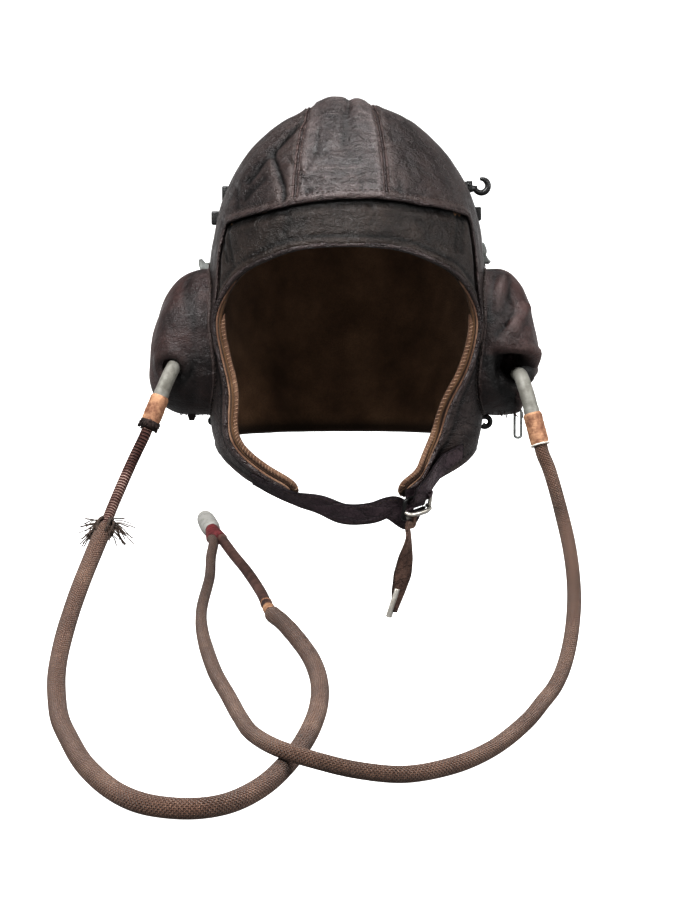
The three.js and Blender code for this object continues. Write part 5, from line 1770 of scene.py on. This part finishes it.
def add_block(name, points, faces, look, node, bevel):
    piece = add_mesh(name, leaned(np.array(points)), faces, [look], node, smooth=False)
    edges = piece.modifiers.new("bevel", "BEVEL")
    edges.width = bevel * MM
    edges.segments = 3
    apply_modifiers(piece)
    piece.data.shade_smooth()
    return piece


def on_wall(side, back, down, proud=0.0):
    return side_point(side, float(back), CROWN_TOP - down, -proud)[0]


def arc(centre, radius, low, high, count=24):
    turn = np.linspace(low, high, count) * math.pi
    return centre + np.stack([radius * np.cos(turn), 0 * turn, radius * np.sin(turn)], -1)


# node, side, back, down, proud, deep, tall
TABS = [
    ("hook_plate_left", -1, 12, 56, 3.2, 9, 9),
    ("strap_tab_right", 1, 12, 68, 5, 7, 8),
    ("strap_tab_left", -1, 12, 70.5, 5, 7, 8),
]
# node, side, down, tall, then its outline as millimetres out and shares of its height up
CLIPS = [
    ("clip_left", -1, 101, 10, [
        (-3, -0.6), (1.0, -0.6), (3.2, -0.3), (6.4, -0.05), (7.6, 0.3), (7.4, 0.62), (5.6, 0.66),
        (3.4, 0.4), (-3, 0.5),
    ]),
    ("clip_right", 1, 91, 12, [
        (-3, -0.5), (4.8, -0.52), (5.9, -0.43), (4.4, -0.30), (2.9, -0.10), (3.5, 0.10), (2.8, 0.30),
        (1.6, 0.52), (-3, 0.50),
    ]),
]


def build_tabs():
    for name, side, back, down, proud, deep, tall in TABS:
        face = on_wall(side, back, down, proud)
        size = (proud + 3, deep, tall)
        block(f"{name}_metal", face - vec(side * size[0] / 2, 0, 0), size, BLACK, [name], 0.9)


def build_stud():
    place = on_wall(-1, 0, 192)
    path = np.linspace(place + vec(1.5, 0, 0), place - vec(2.6, 0, 0), 9)
    stud = tube(path, 2.7 * np.sqrt(np.clip(1 - np.linspace(0, 0.98, 9) ** 4, 0, 1)), 16)
    add_tubes("lower_stud_left_metal", [stud], BLACK, ["lower_stud_left"])


def build_upper_hook():
    seat = on_wall(1, 12, 52)
    centre = seat + vec(7 + HOOK_RADIUS - 0.6, 0, 2.2)
    line = arc(centre, HOOK_RADIUS, -0.95, 0.55)
    radius = np.interp(np.linspace(0, 1, len(line)), [0, 0.45, 0.8, 1], [1.4, 1.9, 1.7, 0.9])
    hook = tube(line, radius, 14)
    stem = tube(seat + np.array([(-2, 0, 0), (4, 0, 0.4), (8.2, 0, 0.8)]), [2.6, 2.2, 1.4], 12)
    knob = tube(seat + np.array([(3.5, 0, 0.4), (3.5, 0, 5.0)]), [2.0, 1.7], 12)
    add_tubes("upper_hook_metal", [hook, stem, knob], BLACK, ["upper_hook_right"])
    block("upper_hook_plate", seat + vec(0.6, 0, -2), (3.6, 9, 13), BLACK, bevel=1.0)


def build_lower_hook():
    low = on_wall(1, 2, 189)
    curl = low + vec(2.2, 0, -3.5)
    line = np.vstack([[low + vec(-2, 0, 0.4)], arc(curl, 2.9, -0.75, 0.5)[::-1]])
    hook = tube(line, np.interp(np.linspace(0, 1, len(line)), [0, 0.7, 1], [1.5, 1.5, 2.1]), 12)
    add_tubes("lower_hook_metal", [hook], BLACK, ["lower_hook_right"])


def build_clips():
    for name, side, down, tall, outline in CLIPS:
        seat = on_wall(side, 6, down)
        rows = [seat + vec(side * x, y, z * tall) for y in (-3.5, 3.5) for x, z in outline]
        count = len(outline)
        faces = [list(range(count)), [count + i for i in range(count)][::-1]]
        faces += [[i, i + count, (i + 1) % count + count, (i + 1) % count] for i in range(count)]
        if side > 0:
            faces = [face[::-1] for face in faces]
        add_block(f"{name}_metal", rows, faces, GREY, [name], 0.45)


def build_zip_pulls():
    def under_cup(side, out, long):
        return cup_point(side, out, -0.08, -0.5) + vec(0, 0, 1.5 - long / 2)

    place = under_cup(-1, 0.33, 7)
    rows = [(place + vec(0, 0, up), (0, -1, 0.1), wide) for up, wide in ((3.5, 1), (0, 0.9), (-3.2, 0.55))]
    strap("zip_tag_left", rows, CUP, ["zip_pull_left"], "grey", 1.2, 5.5, None, 0.5)
    place = under_cup(1, 0.62, 17)
    corners = [place + vec(*corner) for corner in ((-2, 0, 8.5), (2, 0, 8.5), (2, 0, -8.5), (-2, 0, -8.5))]
    loop_wire("zip_pull_right_wire", corners, 0.75, GREY, ["zip_pull_right"], 1.9, 10)


build_tabs()
build_stud()
build_upper_hook()
build_lower_hook()
build_clips()
build_zip_pulls()


# Floor, world and lights


def build_floor():
    """A white floor that the leather doesn't see, so that no light veils its undersides."""
    floor_look = bpy.data.materials.new("white floor")
    floor_look.use_nodes = True
    shader = floor_look.node_tree.nodes["Principled BSDF"]
    shader.inputs["Base Color"].default_value = (0.3, 0.3, 0.3, 1)
    shader.inputs["Roughness"].default_value = 1
    shader.inputs["Specular IOR Level"].default_value = 0
    shader.inputs["Emission Color"].default_value = (1, 1, 1, 1)
    shader.inputs["Emission Strength"].default_value = 1.0
    mesh = bpy.data.meshes.new("floor")
    size = 6
    level = FLOOR * MM
    corners = [(-size, -size, level), (size, -size, level), (size, size, level), (-size, size, level)]
    mesh.from_pydata(corners, [], [(0, 1, 2, 3)])
    mesh.materials.append(floor_look)
    floor = bpy.data.objects.new("floor", mesh)
    bpy.context.scene.collection.objects.link(floor)
    floor.visible_diffuse = False
    floor.visible_glossy = False


def build_world():
    """White at the camera's height, dimmer above and below."""
    view = bpy.context.scene.view_settings
    view.view_transform = "Standard"
    view.exposure = 0.35
    view.gamma = 0.75
    world = bpy.data.worlds.new("white studio")
    bpy.context.scene.world = world
    world.use_nodes = True
    nodes, links = world.node_tree.nodes, world.node_tree.links
    parts = nodes.new("ShaderNodeSeparateXYZ")
    links.new(nodes.new("ShaderNodeTexCoord").outputs["Generated"], parts.inputs[0])
    lower = nodes.new("ShaderNodeMath")
    lower.operation = "MINIMUM"
    sky, ground = (0.03, 0.30, 1.0, 0.10), (-0.35, -0.06, 0.40, 1.0)
    for index, values in enumerate((sky, ground)):
        slope = nodes.new("ShaderNodeMapRange")
        for name, value in zip(("From Min", "From Max", "To Min", "To Max"), values):
            slope.inputs[name].default_value = value
        links.new(parts.outputs["Z"], slope.inputs["Value"])
        links.new(slope.outputs["Result"], lower.inputs[index])
    links.new(lower.outputs[0], nodes["Background"].inputs["Strength"])
    nodes["Background"].inputs["Color"].default_value = (1, 1, 1, 1)


# name, place in metres, watts, size
LIGHTS = [
    ("key", (-0.8, -1.1, 1.3), 62, 0.9),
    ("fill", (1.3, -0.8, 0.7), 24, 0.9),
    ("top", (0.15, 0.4, 1.5), 20, 0.7),
]
HELMET_MIDDLE = Vector((0, 0, -0.12))


def build_lights():
    for name, place, power, size in LIGHTS:
        light = bpy.data.objects.new(name, bpy.data.lights.new(name, "AREA"))
        light.data.energy = power
        light.data.size = size
        light.location = place
        aim = HELMET_MIDDLE - light.location
        light.rotation_euler = aim.to_track_quat("-Z", "Y").to_euler()
        bpy.context.scene.collection.objects.link(light)


build_floor()
build_world()
build_lights()
